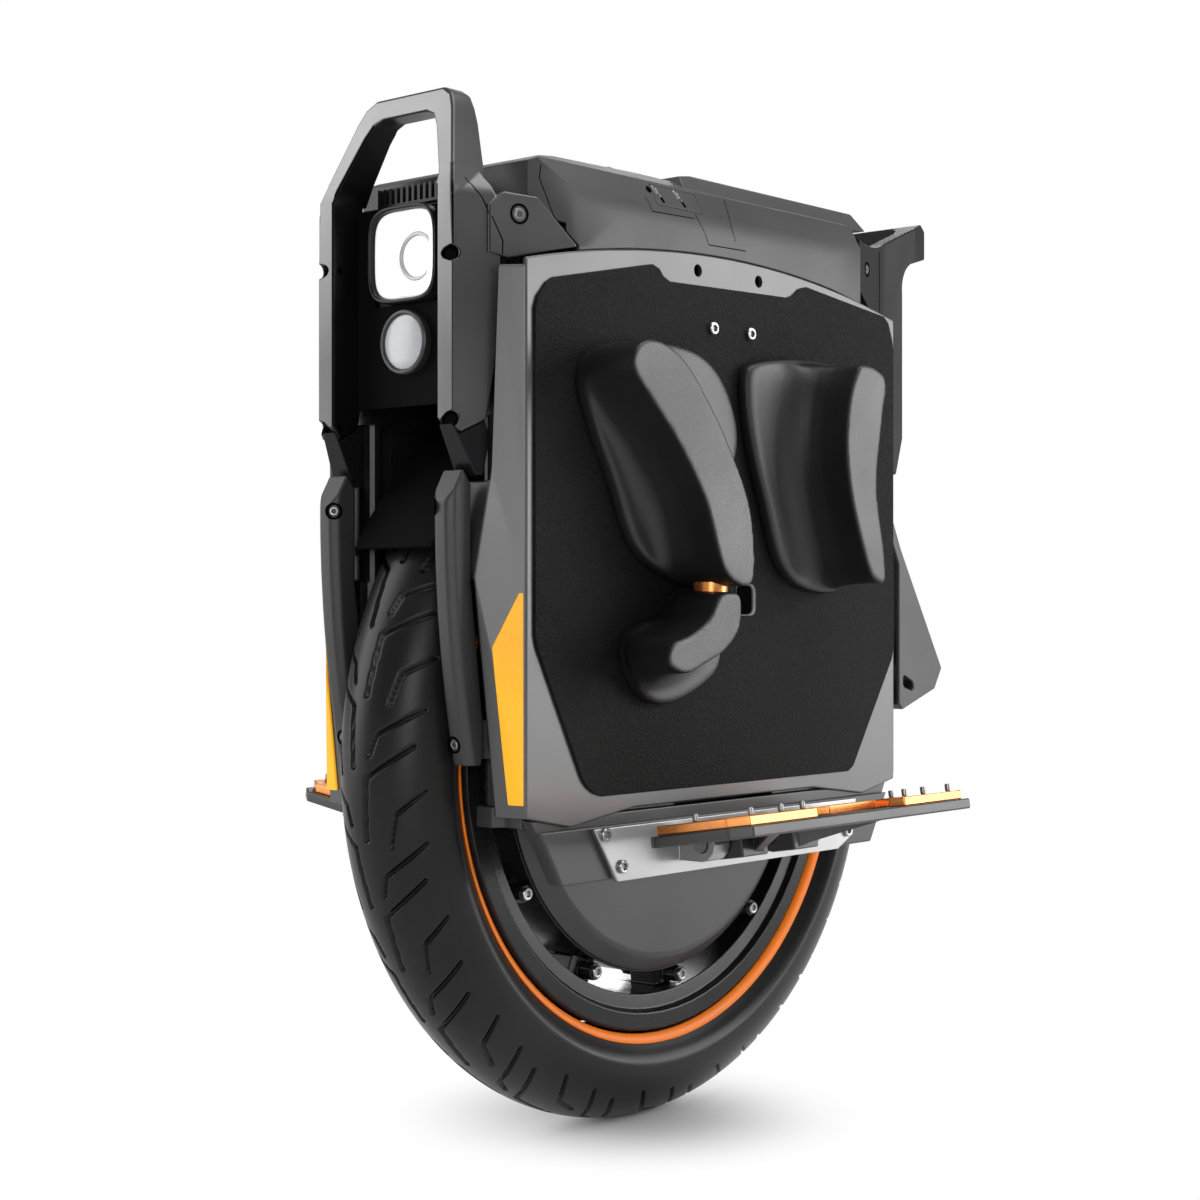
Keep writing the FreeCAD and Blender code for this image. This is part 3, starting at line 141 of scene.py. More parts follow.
def noise_node(nodes, links, scale, detail=2.0, kind="ShaderNodeTexNoise"):
    """Noise in the piece's own metres, so that the grain has a true size."""
    place = nodes.new("ShaderNodeTexCoord")
    texture = nodes.new(kind)
    texture.inputs["Scale"].default_value = scale
    if kind == "ShaderNodeTexNoise":
        texture.inputs["Detail"].default_value = detail
    links.new(place.outputs["Object"], texture.inputs["Vector"])
    return texture


def remap(nodes, links, source, start, end, low=0.0, high=1.0):
    """Value that runs from low to high as the source runs from start to end; start may be the greater."""
    scale = nodes.new("ShaderNodeMapRange")
    for name, value in (("From Min", start), ("From Max", end), ("To Min", low), ("To Max", high)):
        scale.inputs[name].default_value = value
    links.new(source, scale.inputs["Value"])
    return scale.outputs["Result"]


def combined(nodes, links, operation, *values):
    """Product, sum or the like of other values."""
    node = nodes.new("ShaderNodeMath")
    node.operation = operation
    for socket, value in zip(node.inputs, values):
        links.new(value, socket)
    return node.outputs["Value"]


def finish(name, colour, rough, metal=0.0, mottle=0.12, grain=900.0, bump=0.05, shine=0.5, coat=0.0,
           cells=False, glow=0.0):
    """Material with a slow change of tone, an uneven gloss and a fine grain, or cells in its place."""
    material, nodes, links = new_material(name)
    shader = nodes["Principled BSDF"]
    slow = noise_node(nodes, links, MOTTLE_SCALE, 3.0).outputs["Fac"]
    fine = noise_node(nodes, links, grain, 2.0).outputs["Fac"]
    tone = nodes.new("ShaderNodeMix")
    tone.data_type = "RGBA"
    tone.inputs["A"].default_value = [c * (1 - mottle) for c in colour] + [1]
    tone.inputs["B"].default_value = [c * (1 + mottle) for c in colour] + [1]
    links.new(remap(nodes, links, slow, *NOISE_SPAN), tone.inputs["Factor"])
    links.new(tone.outputs["Result"], shader.inputs["Base Color"])
    slow_gloss = remap(nodes, links, slow, *NOISE_SPAN, rough - MOTTLE_GLOSS, rough + MOTTLE_GLOSS)
    fine_gloss = remap(nodes, links, fine, *NOISE_SPAN, -GRAIN_GLOSS, GRAIN_GLOSS)
    links.new(combined(nodes, links, "ADD", slow_gloss, fine_gloss), shader.inputs["Roughness"])
    relief = nodes.new("ShaderNodeBump")
    relief.inputs["Strength"].default_value = bump
    relief.inputs["Distance"].default_value = GRAIN_HEIGHT
    if cells:
        fine = noise_node(nodes, links, grain, kind="ShaderNodeTexVoronoi").outputs["Distance"]
    links.new(fine, relief.inputs["Height"])
    links.new(relief.outputs["Normal"], shader.inputs["Normal"])
    shader.inputs["Metallic"].default_value = metal
    shader.inputs["Specular IOR Level"].default_value = shine
    shader.inputs["Coat Weight"].default_value = coat
    shader.inputs["Coat Roughness"].default_value = COAT_ROUGH
    if glow:
        links.new(tone.outputs["Result"], shader.inputs["Emission Color"])
        shader.inputs["Emission Strength"].default_value = glow
    return material


def recolour(material, factor, colour):
    """Second colour over a finish, where the factor says."""
    nodes, links = material.node_tree.nodes, material.node_tree.links
    target = nodes["Principled BSDF"].inputs["Base Color"]
    over = nodes.new("ShaderNodeMix")
    over.data_type = "RGBA"
    over.inputs["B"].default_value = (*colour, 1)
    links.new(target.links[0].from_socket, over.inputs["A"])
    links.new(factor, over.inputs["Factor"])
    links.new(over.outputs["Result"], target)


def vary_shine(material, factor, low, high):
    """Shine of a finish that runs from low to high with the factor."""
    nodes, links = material.node_tree.nodes, material.node_tree.links
    shine = remap(nodes, links, factor, 0.0, 1.0, low, high)
    links.new(shine, nodes["Principled BSDF"].inputs["Specular IOR Level"])


def tyre_look():
    """Rubber with painted shade, darker at the bottom of the grooves."""
    material = finish("tyre_rubber", (0.009, 0.009, 0.009), 0.34, mottle=0.25, grain=1400, bump=0.12,
                      shine=0.22)
    nodes, links = material.node_tree.nodes, material.node_tree.links
    groove = nodes.new("ShaderNodeAttribute")
    groove.attribute_name = "groove"
    # Painted shade: the rubber turns near-black towards the bottom of each groove.
    deep = remap(nodes, links, groove.outputs["Fac"], 0.15, 0.8)
    recolour(material, deep, (0.0015, 0.0015, 0.0015))
    return material


def parts_of(nodes, links, output):
    """X, Y and Z of a place on the piece ("Object") or of the way its surface faces ("Normal")."""
    place = nodes.new("ShaderNodeTexCoord")
    split = nodes.new("ShaderNodeSeparateXYZ")
    links.new(place.outputs[output], split.inputs["Vector"])
    return split.outputs


def near_hole(nodes, links, level):
    """1 in the hoop's corner holes at a height, on both sides, and 0 away from them."""
    place = nodes.new("ShaderNodeTexCoord")
    folded = nodes.new("ShaderNodeVectorMath")
    folded.operation = "ABSOLUTE"
    links.new(place.outputs["Object"], folded.inputs[0])
    away = nodes.new("ShaderNodeVectorMath")
    away.operation = "DISTANCE"
    away.inputs[1].default_value = [v * MM for v in (*HOOP_HOLE, level)]
    links.new(folded.outputs["Vector"], away.inputs[0])
    edge, inside = 6.6 * MM, 6.2 * MM
    return remap(nodes, links, away.outputs["Value"], edge, inside)


def hoop_look():
    """Satin casting, darker over the arch, with painted light: a painted highlight on the front faces,
    paler upwards, and painted shade that blackens the holes, the outer corners and the faces towards the
    lamps.
    """
    material = finish("hoop_satin", (0.074, 0.074, 0.075), 0.36, metal=0.55, grain=2200, bump=0.04)
    nodes, links = material.node_tree.nodes, material.node_tree.links
    facing = parts_of(nodes, links, "Normal")
    spot = parts_of(nodes, links, "Object")
    arch = remap(nodes, links, spot["Z"], 0.58, 0.64)
    recolour(material, arch, (0.042, 0.042, 0.043))
    # Painted highlight: faces turned forwards are paler, and much paler higher up.
    front = remap(nodes, links, facing["X"], 0.86, 0.94)
    recolour(material, front, (0.085, 0.085, 0.086))
    high = remap(nodes, links, spot["Z"], 0.50, 0.64)
    recolour(material, combined(nodes, links, "MULTIPLY", front, high), (0.24, 0.24, 0.242))
    # Painted shade: faces turned inwards, towards the lamps, are near-black.
    outwards = combined(nodes, links, "MULTIPLY", spot["Y"], facing["Y"])
    inner = remap(nodes, links, outwards, -0.012, -0.028)
    recolour(material, inner, (0.006, 0.006, 0.006))
    # Painted shade: the outer corners and the corner holes are near-black and lose their shine.
    sideways = combined(nodes, links, "ABSOLUTE", facing["Y"])
    dark = remap(nodes, links, combined(nodes, links, "MULTIPLY", facing["X"], sideways), 0.38, 0.46)
    for level in HOOP_HOLES_Z:
        dark = combined(nodes, links, "MAXIMUM", dark, near_hole(nodes, links, level))
    recolour(material, dark, (0.002, 0.002, 0.002))
    vary_shine(material, dark, 0.5, 0.0)
    return material


def pad_look():
    """Soft black skin, duller round the flanks than on the outer face."""
    material = finish("soft_pad", (0.011, 0.011, 0.012), 0.42, mottle=0.15, grain=1300, bump=0.22)
    nodes, links = material.node_tree.nodes, material.node_tree.links
    facing = parts_of(nodes, links, "Normal")
    sideways = combined(nodes, links, "ABSOLUTE", facing["Y"])
    vary_shine(material, remap(nodes, links, sideways, 0.55, 0.95), 0.08, 0.56)
    return material


FINISHES = {
    "satin_black_metal": dict(colour=(0.048, 0.048, 0.049), rough=0.38, metal=0.5, grain=2200, bump=0.04),
    "black_aluminium": dict(colour=(0.010, 0.010, 0.011), rough=0.26, metal=0.18, grain=1600, shine=0.26),
    "grey_panel": dict(colour=(0.100, 0.100, 0.101), rough=0.40, metal=0.75, grain=2600, mottle=0.08),
    "silver_aluminium": dict(colour=(0.33, 0.33, 0.33), rough=0.38, metal=0.95, grain=1800, bump=0.06),
    "matte_black_plastic": dict(colour=(0.028, 0.028, 0.029), rough=0.46, grain=1500, bump=0.10,
                                shine=0.42),
    "gloss_black_plastic": dict(colour=(0.007, 0.007, 0.008), rough=0.30, bump=0.02, shine=0.18),
    "grip_mat": dict(colour=(0.009, 0.009, 0.009), rough=0.58, mottle=0.25, grain=800, bump=1.0, cells=True,
                     shine=0.08),
    "orange_metal": dict(colour=(0.80, 0.30, 0.085), rough=0.28, metal=0.8, grain=1800, bump=0.04),
    # The amber reflector glows with a painted glow, though a reflector is no lamp.
    "amber_reflector": dict(colour=(0.98, 0.46, 0.02), rough=0.34, grain=420, bump=0.12, cells=True,
                            shine=0.2, glow=0.22),
    "red_lens": dict(colour=(0.40, 0.010, 0.008), rough=0.18, grain=500, bump=0.2, cells=True, coat=0.5),
    "clear_lens": dict(colour=(0.80, 0.82, 0.85), rough=0.20, mottle=0.03, grain=300, bump=0.03, glow=0.52),
    "white_lamp": dict(colour=(0.86, 0.88, 0.90), rough=0.24, mottle=0.04, grain=400, bump=0.03, glow=0.80),
    "steel": dict(colour=(0.26, 0.26, 0.265), rough=0.30, metal=0.95, grain=1500),
    "iron_core": dict(colour=(0.10, 0.10, 0.10), rough=0.45, metal=0.8, grain=1200, bump=0.1),
    "cell_wrap": dict(colour=(0.012, 0.013, 0.016), rough=0.45, grain=500),
}
LOOKS = {name: finish(name, **values) for name, values in FINISHES.items()}
LOOKS["tyre_rubber"] = tyre_look()
LOOKS["soft_pad"] = pad_look()
HOOP = hoop_look()
# Near-black plastic for the front panel and the mudguard, darkened further as painted shade between the
# hoop's legs and under the body.
BLACK_PAINTED_SHADE = finish("void_black", (0.005, 0.005, 0.005), 0.62, shine=0.02)
HANDLE = finish("handle_black", (0.008, 0.008, 0.008), 0.50, grain=1500, bump=0.08, shine=0.14)
# Near-black for the dark seams, and painted shade in the bolt cups, the cover's bore, the door's slits and
# the mats' slots.
SEAM_AND_PAINTED_SHADE = finish("seam", (0.002, 0.002, 0.002), 0.7, shine=0.0)
MILKY = finish("milky_lens", (0.46, 0.48, 0.50), 0.30, mottle=0.05, grain=420, bump=0.08, cells=True,
               coat=0.4)
ORANGE_PAINT = finish("orange_paint", (0.92, 0.21, 0.012), 0.42, mottle=0.08, grain=1500, bump=0.06,
                      shine=0.22)


# Making pieces

def piece_from(name, mesh, body, slot, material, *nodes):
    """Mesh as a piece that rides on a body and stands for the CAD nodes named."""
    piece = bpy.data.objects.new(name, mesh)
    bpy.context.collection.objects.link(piece)
    mesh.materials.clear()
    mesh.materials.append(material)
    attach(piece, body)
    if nodes:
        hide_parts(*nodes)
    return piece


def welded(node):
    """Working copy of a node's mesh with its corners joined and its flat faces whole."""
    work = bmesh.new()
    work.from_mesh(frame["nodes"][node].data)
    bmesh.ops.remove_doubles(work, verts=work.verts, dist=0.01 * MM)
    bmesh.ops.dissolve_limit(work, angle_limit=math.radians(1.0), verts=work.verts, edges=work.edges)
    return work


def islands(work):
    """Separate bodies of a working mesh, as lists of corners."""
    left = set(work.verts)
    found = []
    while left:
        body = [left.pop()]
        for corner in body:
            for edge in corner.link_edges:
                near = edge.other_vert(corner)
                if near in left:
                    left.remove(near)
                    body.append(near)
        found.append(body)
    return found


def from_edge(point, edge):
    """Distance of a point from an edge."""
    start, end = (corner.co for corner in edge.verts)
    along = (point - start).dot(end - start) / (end - start).length_squared
    return (point - start.lerp(end, min(1.0, max(0.0, along)))).length


def room_beside(edge, narrow):
    """Length free for rounding at an edge; on a narrow piece the breadth of its faces counts too."""
    room = [near.calc_length() for corner in edge.verts for near in corner.link_edges]
    for face in edge.link_faces if narrow else ():
        room += [from_edge(corner.co, edge) for corner in face.verts if corner not in edge.verts]
        for other in face.edges:
            if not set(other.verts) & set(edge.verts):
                room += [from_edge(corner.co, other) for corner in edge.verts]
    return min(room)


def soften(node, width, look=None, narrow=False, cut=None, reshape=None):
    """Stands for a node with its edges rounded, each as far as the faces beside it leave room.

    The node may first be cut across at a height and its corners moved by a function.
    """
    work = welded(node)
    if reshape:
        bmesh.ops.bisect_plane(work, geom=work.verts[:] + work.edges[:] + work.faces[:], dist=0.001 * MM,
                               plane_co=(0, 0, cut * MM), plane_no=(0, 0, 1))
        for corner in work.verts:
            corner.co = reshape(corner.co / MM) * MM
    weight = work.edges.layers.float.new("bevel_weight_edge")
    for edge in work.edges:
        if len(edge.link_faces) == 2 and edge.calc_face_angle(0) > FOLD:
            edge[weight] = min(1.0, ROUND_SHARE * room_beside(edge, narrow) / (width * MM))
    for face in work.faces:
        face.smooth = True
    mesh = bpy.data.meshes.new(node + "_soft")
    work.to_mesh(mesh)
    work.free()
    look = look or LOOKS[SLOT_OF[node]]
    piece = piece_from(node + "_soft", mesh, BODY_OF[node], SLOT_OF[node], look, node)
    bevel = piece.modifiers.new("edges", "BEVEL")
    bevel.limit_method = "WEIGHT"
    bevel.width = width * MM
    bevel.segments = ROUND_STEPS
    bevel.use_clamp_overlap = False
    even = piece.modifiers.new("even_faces", "WEIGHTED_NORMAL")
    even.keep_sharp = True
    return piece


def grid_mesh(name, grids, closed_rows, closed_columns):
    """Smooth mesh over one or more grids, each of rows of points in millimetres."""
    points = []
    faces = []
    for rows in grids:
        first = len(points)
        wide = len(rows[0])
        points += [Vector(point) * MM for row in rows for point in row]
        for i in range(len(rows) if closed_rows else len(rows) - 1):
            below = first + i * wide
            above = first + (i + 1) % len(rows) * wide
            for j in range(wide if closed_columns else wide - 1):
                k = (j + 1) % wide
                faces.append((below + j, below + k, above + k, above + j))
    mesh = bpy.data.meshes.new(name)
    mesh.from_pydata(points, [], faces)
    mesh.polygons.foreach_set("use_smooth", [True] * len(faces))
    return mesh


def outward(mesh):
    """Faces of a mesh turned to look outwards."""
    work = bmesh.new()
    work.from_mesh(mesh)
    bmesh.ops.recalc_face_normals(work, faces=work.faces)
    work.to_mesh(mesh)
    work.free()


def lathe(centre, axis, profile, steps=48):
    """Rows of a form turned about an axis, from (radius, height), with True added where it is six-sided."""
    axis = Vector(axis).normalized()
    across = axis.orthogonal().normalized()
    up = axis.cross(across)
    rows = []
    for radius, height, *six in profile:
        row = []
        for i in range(steps):
            angle = 2 * math.pi * i / steps
            reach = radius
            if six:
                reach *= math.cos(math.pi / 6) / math.cos(angle % (math.pi / 3) - math.pi / 6)
            spoke = across * math.cos(angle) + up * math.sin(angle)
            row.append(Vector(centre) + axis * height + spoke * reach)
        rows.append(row)
    return rows


def turned(name, grids, body, slot, look, *nodes):
    """Piece made of turned forms, with its folds kept crisp."""
    mesh = grid_mesh(name, grids, False, True)
    outward(mesh)
    mesh.set_sharp_from_angle(angle=math.radians(35))
    return piece_from(name, mesh, body, slot, look, *nodes)


def socket_head(radius, tall):
    """Profile of a socket-head screw from its seat to the bottom of its hexagon."""
    outside = [(radius, 0), (radius, tall - HEAD_CHAMFER), (radius - HEAD_CHAMFER, tall)]
    socket = [(0.60 * radius, tall), (0.58 * radius, tall - 0.1, True), (0.56 * radius, 0.35 * tall, True)]
    return outside + socket + [(CLOSED, 0.3 * tall)]


def socket_heads(node, radius):
    """Stands for a node's plain bolt heads, which lie along Y."""
    work = welded(node)
    grids = []
    for body in islands(work):
        ys = [corner.co.y / MM for corner in body]
        middle = sum((corner.co for corner in body), Vector()) / len(body) / MM
        out = 1 if abs(max(ys)) > abs(min(ys)) else -1
        seat = min(ys) if out > 0 else max(ys)
        grids.append(lathe((middle.x, seat, middle.z), (0, out, 0), socket_head(radius, BOLT_HEAD)))
    work.free()
    return turned(node + "_sockets", grids, BODY_OF[node], SLOT_OF[node], LOOKS[SLOT_OF[node]], node)


def surface_of(piece):
    """Finished surface of a piece, for finding the nearest spot on it."""
    return BVHTree.FromObject(piece, bpy.context.evaluated_depsgraph_get())


def closing(row):
    """Row drawn in to its middle, which closes the end of a form."""
    middle = sum(row, Vector()) / len(row)
    return [middle.lerp(point, CLOSED) for point in row]


def seam(name, piece, lines, width=0.9, rise=0.15, slot="gloss_black_plastic", look=SEAM_AND_PAINTED_SHADE):
    """Thin strip on a piece's surface along lines of points in millimetres, dark like a gap unless told."""
    tree = surface_of(piece)
    grids = []
    for line in lines:
        path = []
        for start, end in zip(line[:-1], line[1:]):
            run = Vector(end) - Vector(start)
            count = max(2, int(run.length / STRIP_STEP))
            path += [tree.find_nearest((Vector(start) + run * i / count) * MM)[:2] for i in range(count)]
        path.append(tree.find_nearest(Vector(line[-1]) * MM)[:2])
        rows = []
        for i, (spot, normal) in enumerate(path):
            ahead = path[min(i + 1, len(path) - 1)][0] - path[max(i - 1, 0)][0]
            side = ahead.cross(normal).normalized() * width / 2
            spot = spot / MM
            rows.append([spot + side, spot + rise * normal, spot - side, spot - STRIP_ROOT * normal])
        grids.append([closing(rows[0])] + rows + [closing(rows[-1])])
    mesh = grid_mesh(name, grids, False, True)
    outward(mesh)
    return piece_from(name, mesh, BODY_OF[piece.name.replace("_soft", "")], slot, look)


def recessed_bolt(name, piece, places, radius=4.0):
    """Socket-head screws in cups on the surface of a piece, each near a place in millimetres; the cups are
    near-black, painted shade.
    """
    tree = surface_of(piece)
    cup = [(radius + 2.4, -0.6), (radius + 2.2, 0.35), (radius + 0.9, 0.30), (radius + 0.5, -CUP_DEPTH),
           (CLOSED, -CUP_DEPTH)]
    cups = []
    heads = []
    for place in places:
        spot, normal = tree.find_nearest(Vector(place) * MM)[:2]
        cups.append(lathe(spot / MM, normal, cup))
        heads.append(lathe(spot / MM - CUP_DEPTH * normal, normal, socket_head(radius, SUNK_HEAD)))
    body = BODY_OF[piece.name.replace("_soft", "")]
    # Painted shade: the cups are near-black.
    turned(name + "_cups", cups, body, "gloss_black_plastic", SEAM_AND_PAINTED_SHADE)
    turned(name + "_screws", heads, body, "steel", LOOKS["steel"])


def through(points, count, closed=False):
    """Points along a smooth line through the ones given, which may be unevenly spaced."""
    last = len(points) if closed else len(points) - 1
    line = []
    for i in range(count):
        t = i * last / count if closed else i * last / (count - 1)
        k = min(int(t), last - 1)
        if closed:
            near = [Vector(points[(k + n) % len(points)]) for n in (-1, 0, 1, 2)]
        else:
            near = [Vector(points[min(max(k + n, 0), last)]) for n in (-1, 0, 1, 2)]
        knots = [0.0]
        for a, b in zip(near[:-1], near[1:]):
            knots.append(knots[-1] + max((b - a).length, 1e-3) ** 0.5)
        at = knots[1] + (t - k) * (knots[2] - knots[1])
        for span in (1, 2):
            near = [a.lerp(b, (at - knots[j]) / (knots[j + span] - knots[j]))
                    for j, (a, b) in enumerate(zip(near[:-1], near[1:]))]
        line.append(tuple(near[0].lerp(near[1], (at - knots[1]) / (knots[2] - knots[1]))))
    return line


# Tyre

def tyre_profile():
    """Outer face of the tyre from the left bead over the crown to the right bead, as (radius, y)."""
    shoulder = TYRE_R - TYRE_HALF - 1
    half = [(FLANGE_R + 0.4, FLANGE_TIP), (FLANGE_R + 4, 30.2), (FLANGE_R + 10, 34.6), (shoulder - 4, 38.4)]
    crown_steps = 12
    for i in range(crown_steps + 1):
        angle = math.radians(90 * i / crown_steps)
        half.append((shoulder + (TYRE_R - shoulder) * math.sin(angle), TYRE_HALF * math.cos(angle)))
    return through(half + [(r, -y) for r, y in half[-2::-1]], ACROSS_STEPS)


# Grooves of one pitch of the tread, as (up the front of the tyre, across from the crown's middle)
GROOVES = (
    ((0, 4), (38, 7), (58, 36)),
    ((52, 9), (64, 13), (82, 41)),
    ((-4, 20), (16, 25), (29, 43)),
)


def distance_to(line, along, across):
    """Shortest distance from a spot on the tread to a bent line."""
    best = 1e9
    for (a0, c0), (a1, c1) in zip(line[:-1], line[1:]):
        da, dc = a1 - a0, c1 - c0
        share = max(0.0, min(1.0, ((along - a0) * da + (across - c0) * dc) / (da * da + dc * dc)))
        best = min(best, math.hypot(along - a0 - share * da, across - c0 - share * dc))
    return best


def tread_cut(along, across):
    """How deep the tread is cut at a spot."""
    pitch = 2 * math.pi * TYRE_R / TREAD_PITCHES
    if across < 0:
        along += pitch / 2
        across = -across
    if across > TREAD_REACH:
        return 0.0
    spots = (along % pitch, along % pitch - pitch)
    near = min(distance_to(line, spot, across) for line in GROOVES for spot in spots)
    return GROOVE_DEPTH * max(0.0, min(1.0, (GROOVE_LIP - near) / GROOVE_WALL))


def tyre():
    """Round tyre with its tread, which repeats with each pitch."""
    profile = tyre_profile()
    reach = [0.0]
    for (r0, y0), (r1, y1) in zip(profile[:-1], profile[1:]):
        reach.append(reach[-1] + math.hypot(r1 - r0, y1 - y0))
    middle = reach[-1] / 2
    repeat = TYRE_STEPS // TREAD_PITCHES
    pitch = 2 * math.pi * TYRE_R / TREAD_PITCHES
    cuts = [[tread_cut(-i * pitch / repeat, middle - along) for along in reach] for i in range(repeat)]
    rows = []
    for i in range(TYRE_STEPS):
        angle = 2 * math.pi * i / TYRE_STEPS
        row = []
        for (r, y), cut in zip(profile, cuts[i % repeat]):
            depth = r - cut
            row.append((depth * math.sin(angle), y, AXLE_Z + depth * math.cos(angle)))
        rows.append(row)
    mesh = grid_mesh("tyre_tread", [rows], True, False)
    shade = mesh.attributes.new("groove", "FLOAT", "POINT")
    depths = [cut / GROOVE_DEPTH for i in range(TYRE_STEPS) for cut in cuts[i % repeat]]
    shade.data.foreach_set("value", depths)
    return piece_from("tyre_tread", mesh, "wheel", "tyre_rubber", LOOKS["tyre_rubber"], "tyre")


def ring(name, section, body, slot, material, steps=240):
    """Turned ring on each side of the wheel, from a closed section of (radius, y)."""
    grids = []
    for side in (1, -1):
        rows = []
        for i in range(steps):
            angle = 2 * math.pi * i / steps
            rows.append([(r * math.sin(angle), side * y, AXLE_Z + r * math.cos(angle)) for r, y in section])
        grids.append(rows)
    mesh = grid_mesh(name, grids, True, True)
    outward(mesh)
    return piece_from(name, mesh, body, slot, material)


# Leg pads

# How a pad rises: share of its height, and share of the way from the base's outline in to the crown's
PAD_RISE = ((0.0, 0.0), (0.10, -0.01), (0.15, 0.01), (0.18, 0.06), (0.19, 0.14), (0.19, 0.26), (0.20, 0.40),
            (0.23, 0.54), (0.28, 0.67), (0.36, 0.78), (0.47, 0.87), (0.60, 0.94), (0.76, 0.98), (0.90, 1.0),
            (0.97, 1.0))
PAD_VOXEL = 1.3 * MM
PAD_ROUNDS = 14


def pad(name, base, crown, height, node, side):
    """Moulded foam pad: a rounded lip on the mat, a hollow flank and a full crown with rounded edges."""
    around = 12 * len(base)
    low = through(base, around, True)
    high = through(crown, around, True)
    lines = []
    for share, drawn in PAD_RISE:
        y = side * (MAT_Y + share * height)
        lines.append([(bx + drawn * (cx - bx), y, PAD_Z + bz + drawn * (cz - bz))
                      for (bx, bz), (cx, cz) in zip(low, high)])
    mesh = grid_mesh(name, [lines], False, True)
    work = bmesh.new()
    work.from_mesh(mesh)
    work.verts.ensure_lookup_table()
    for row in (0, len(lines) - 1):
        work.faces.new([work.verts[row * around + j] for j in range(around)])
    bmesh.ops.recalc_face_normals(work, faces=work.faces)
    work.to_mesh(mesh)
    work.free()
    piece = piece_from(name, mesh, "chassis", "soft_pad", LOOKS["soft_pad"], node)
    foam = piece.modifiers.new("foam", "REMESH")
    foam.mode = "VOXEL"
    foam.voxel_size = PAD_VOXEL
    foam.use_smooth_shade = True
    rounding = piece.modifiers.new("rounding", "SMOOTH")
    rounding.factor = 0.5
    rounding.iterations = PAD_ROUNDS
    return piece


# Outlines of the pads, as (x, height over the wheel's axle)
FRONT_BASE = [(146, 252), (155, 236), (144, 204), (129, 177), (108, 136), (86, 120),
              (40, 111), (14, 172), (2, 208), (16, 241), (40, 258), (100, 262)]
FRONT_CROWN = [(151, 251), (155, 240), (139, 222), (115, 199), (87, 163), (64, 116),
               (40, 111), (40, 155), (61, 195), (86, 227), (110, 249), (136, 257)]
LOWER_BASE = [(62, 108), (78, 91), (101, 86), (114, 78), (115, 64),
              (97, 40), (78, 35), (44, 44), (22, 60), (28, 107)]
LOWER_CROWN = [(70, 104), (83, 89), (100, 80), (118, 74), (122, 63),
               (106, 56), (88, 61), (66, 70), (52, 84), (52, 104)]
REAR_BASE = [(-26, 260), (-8, 253), (-6, 235), (-13, 200), (-26, 166), (-44, 125),
             (-66, 110), (-114, 109), (-124, 140), (-128, 185), (-126, 230), (-112, 260)]
REAR_CROWN = [(-80, 259), (-73, 251), (-66, 236), (-62, 206), (-66, 176), (-80, 138),
              (-93, 116), (-107, 113), (-107, 132), (-98, 178), (-105, 226), (-108, 252)]


def leg_pads():
    """Front, lower and rear pad on each side."""
    for name, side in (("left", 1), ("right", -1)):
        pad(name + "_front_pad_foam", FRONT_BASE, FRONT_CROWN, PAD_HEIGHT, name + "_front_pad", side)
        pad(name + "_lower_pad_foam", LOWER_BASE, LOWER_CROWN, PAD_HEIGHT, name + "_lower_pad", side)
        pad(name + "_rear_pad_foam", REAR_BASE, REAR_CROWN, REAR_PAD_HEIGHT, name + "_rear_pad", side)


def posts():
    """Bronze spools between the front and lower pads, each with a groove above its middle."""
    groove = POST_R - 1.2
    spool = [(CLOSED, -POST_HALF), (POST_R - 1, -POST_HALF), (POST_R, 1 - POST_HALF), (POST_R, 5.2),
             (groove, 5.8), (groove, 7.0), (POST_R, 7.6), (POST_R, POST_HALF - 1), (POST_R - 1, POST_HALF),
             (CLOSED, POST_HALF)]
    x, y, z = POST_PLACE
    grids = [lathe((x, side * y, z), (0, 0, 1), spool, FINE_STEPS) for side in (1, -1)]
    turned("pad_spools", grids, "chassis", "orange_metal", LOOKS["orange_metal"], "pad_posts")


# Springs

def coil_springs():
    """Wound springs of the two shocks."""
    per_turn = 28
    steps = 15 * per_turn
    wire = 2.0
    wire_end = 0.05
    wire_sides = 12
    coil_r = 11.0
    upright = Vector((0, 0, 1))
    grids = []
    for side in (1, -1):
        rows = []
        for i in range(steps + 1):
            angle = 2 * math.pi * i / per_turn
            out = Vector((math.cos(angle), math.sin(angle), 0))
            level = SPRING_FOOT + wire + (SPRING_TOP - SPRING_FOOT - 2 * wire) * i / steps
            centre = Vector((0, side * SHOCK_Y, level)) + coil_r * out
            thick = wire_end if i in (0, steps) else wire
            rows.append([centre + thick * (math.cos(a) * out + math.sin(a) * upright)
                         for a in (2 * math.pi * k / wire_sides for k in range(wire_sides))])
        grids.append(rows)
    mesh = grid_mesh("shock_coils", grids, False, True)
    outward(mesh)
    slot = SLOT_OF["shock_springs"]
    piece = piece_from("shock_coils", mesh, "chassis", slot, LOOKS[slot], "shock_springs")
    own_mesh(piece)


# Lamps, bolts and seams

def eased_neck(corner):
    """Draws the top of a hoop leg back to the lean of the arch, so that their faces run on."""
    arch_lean = 22.0 / (HOOP_TOP - HOOP_ELBOW)
    neck_lean = 5.0 / 16.0
    neck_rise = 14.0
    up = corner.z - HOOP_ELBOW
    if up <= 0:
        return corner
    back = HOOP_X - arch_lean * up
    out = HOOP_HALF - neck_lean * up if up < neck_rise else HOOP_HALF
    return Vector((min(corner.x, back), max(-out, min(out, corner.y)), corner.z))


def rounded_square(power, steps):
    """Points round a square with rounded corners, which reaches 1 along each axis."""
    loop = []
    for i in range(steps):
        angle = 2 * math.pi * i / steps
        c, s = math.cos(angle), math.sin(angle)
        reach = 1 / (abs(c) ** power + abs(s) ** power) ** (1 / power)
        loop.append((reach * c, reach * s))
    return loop


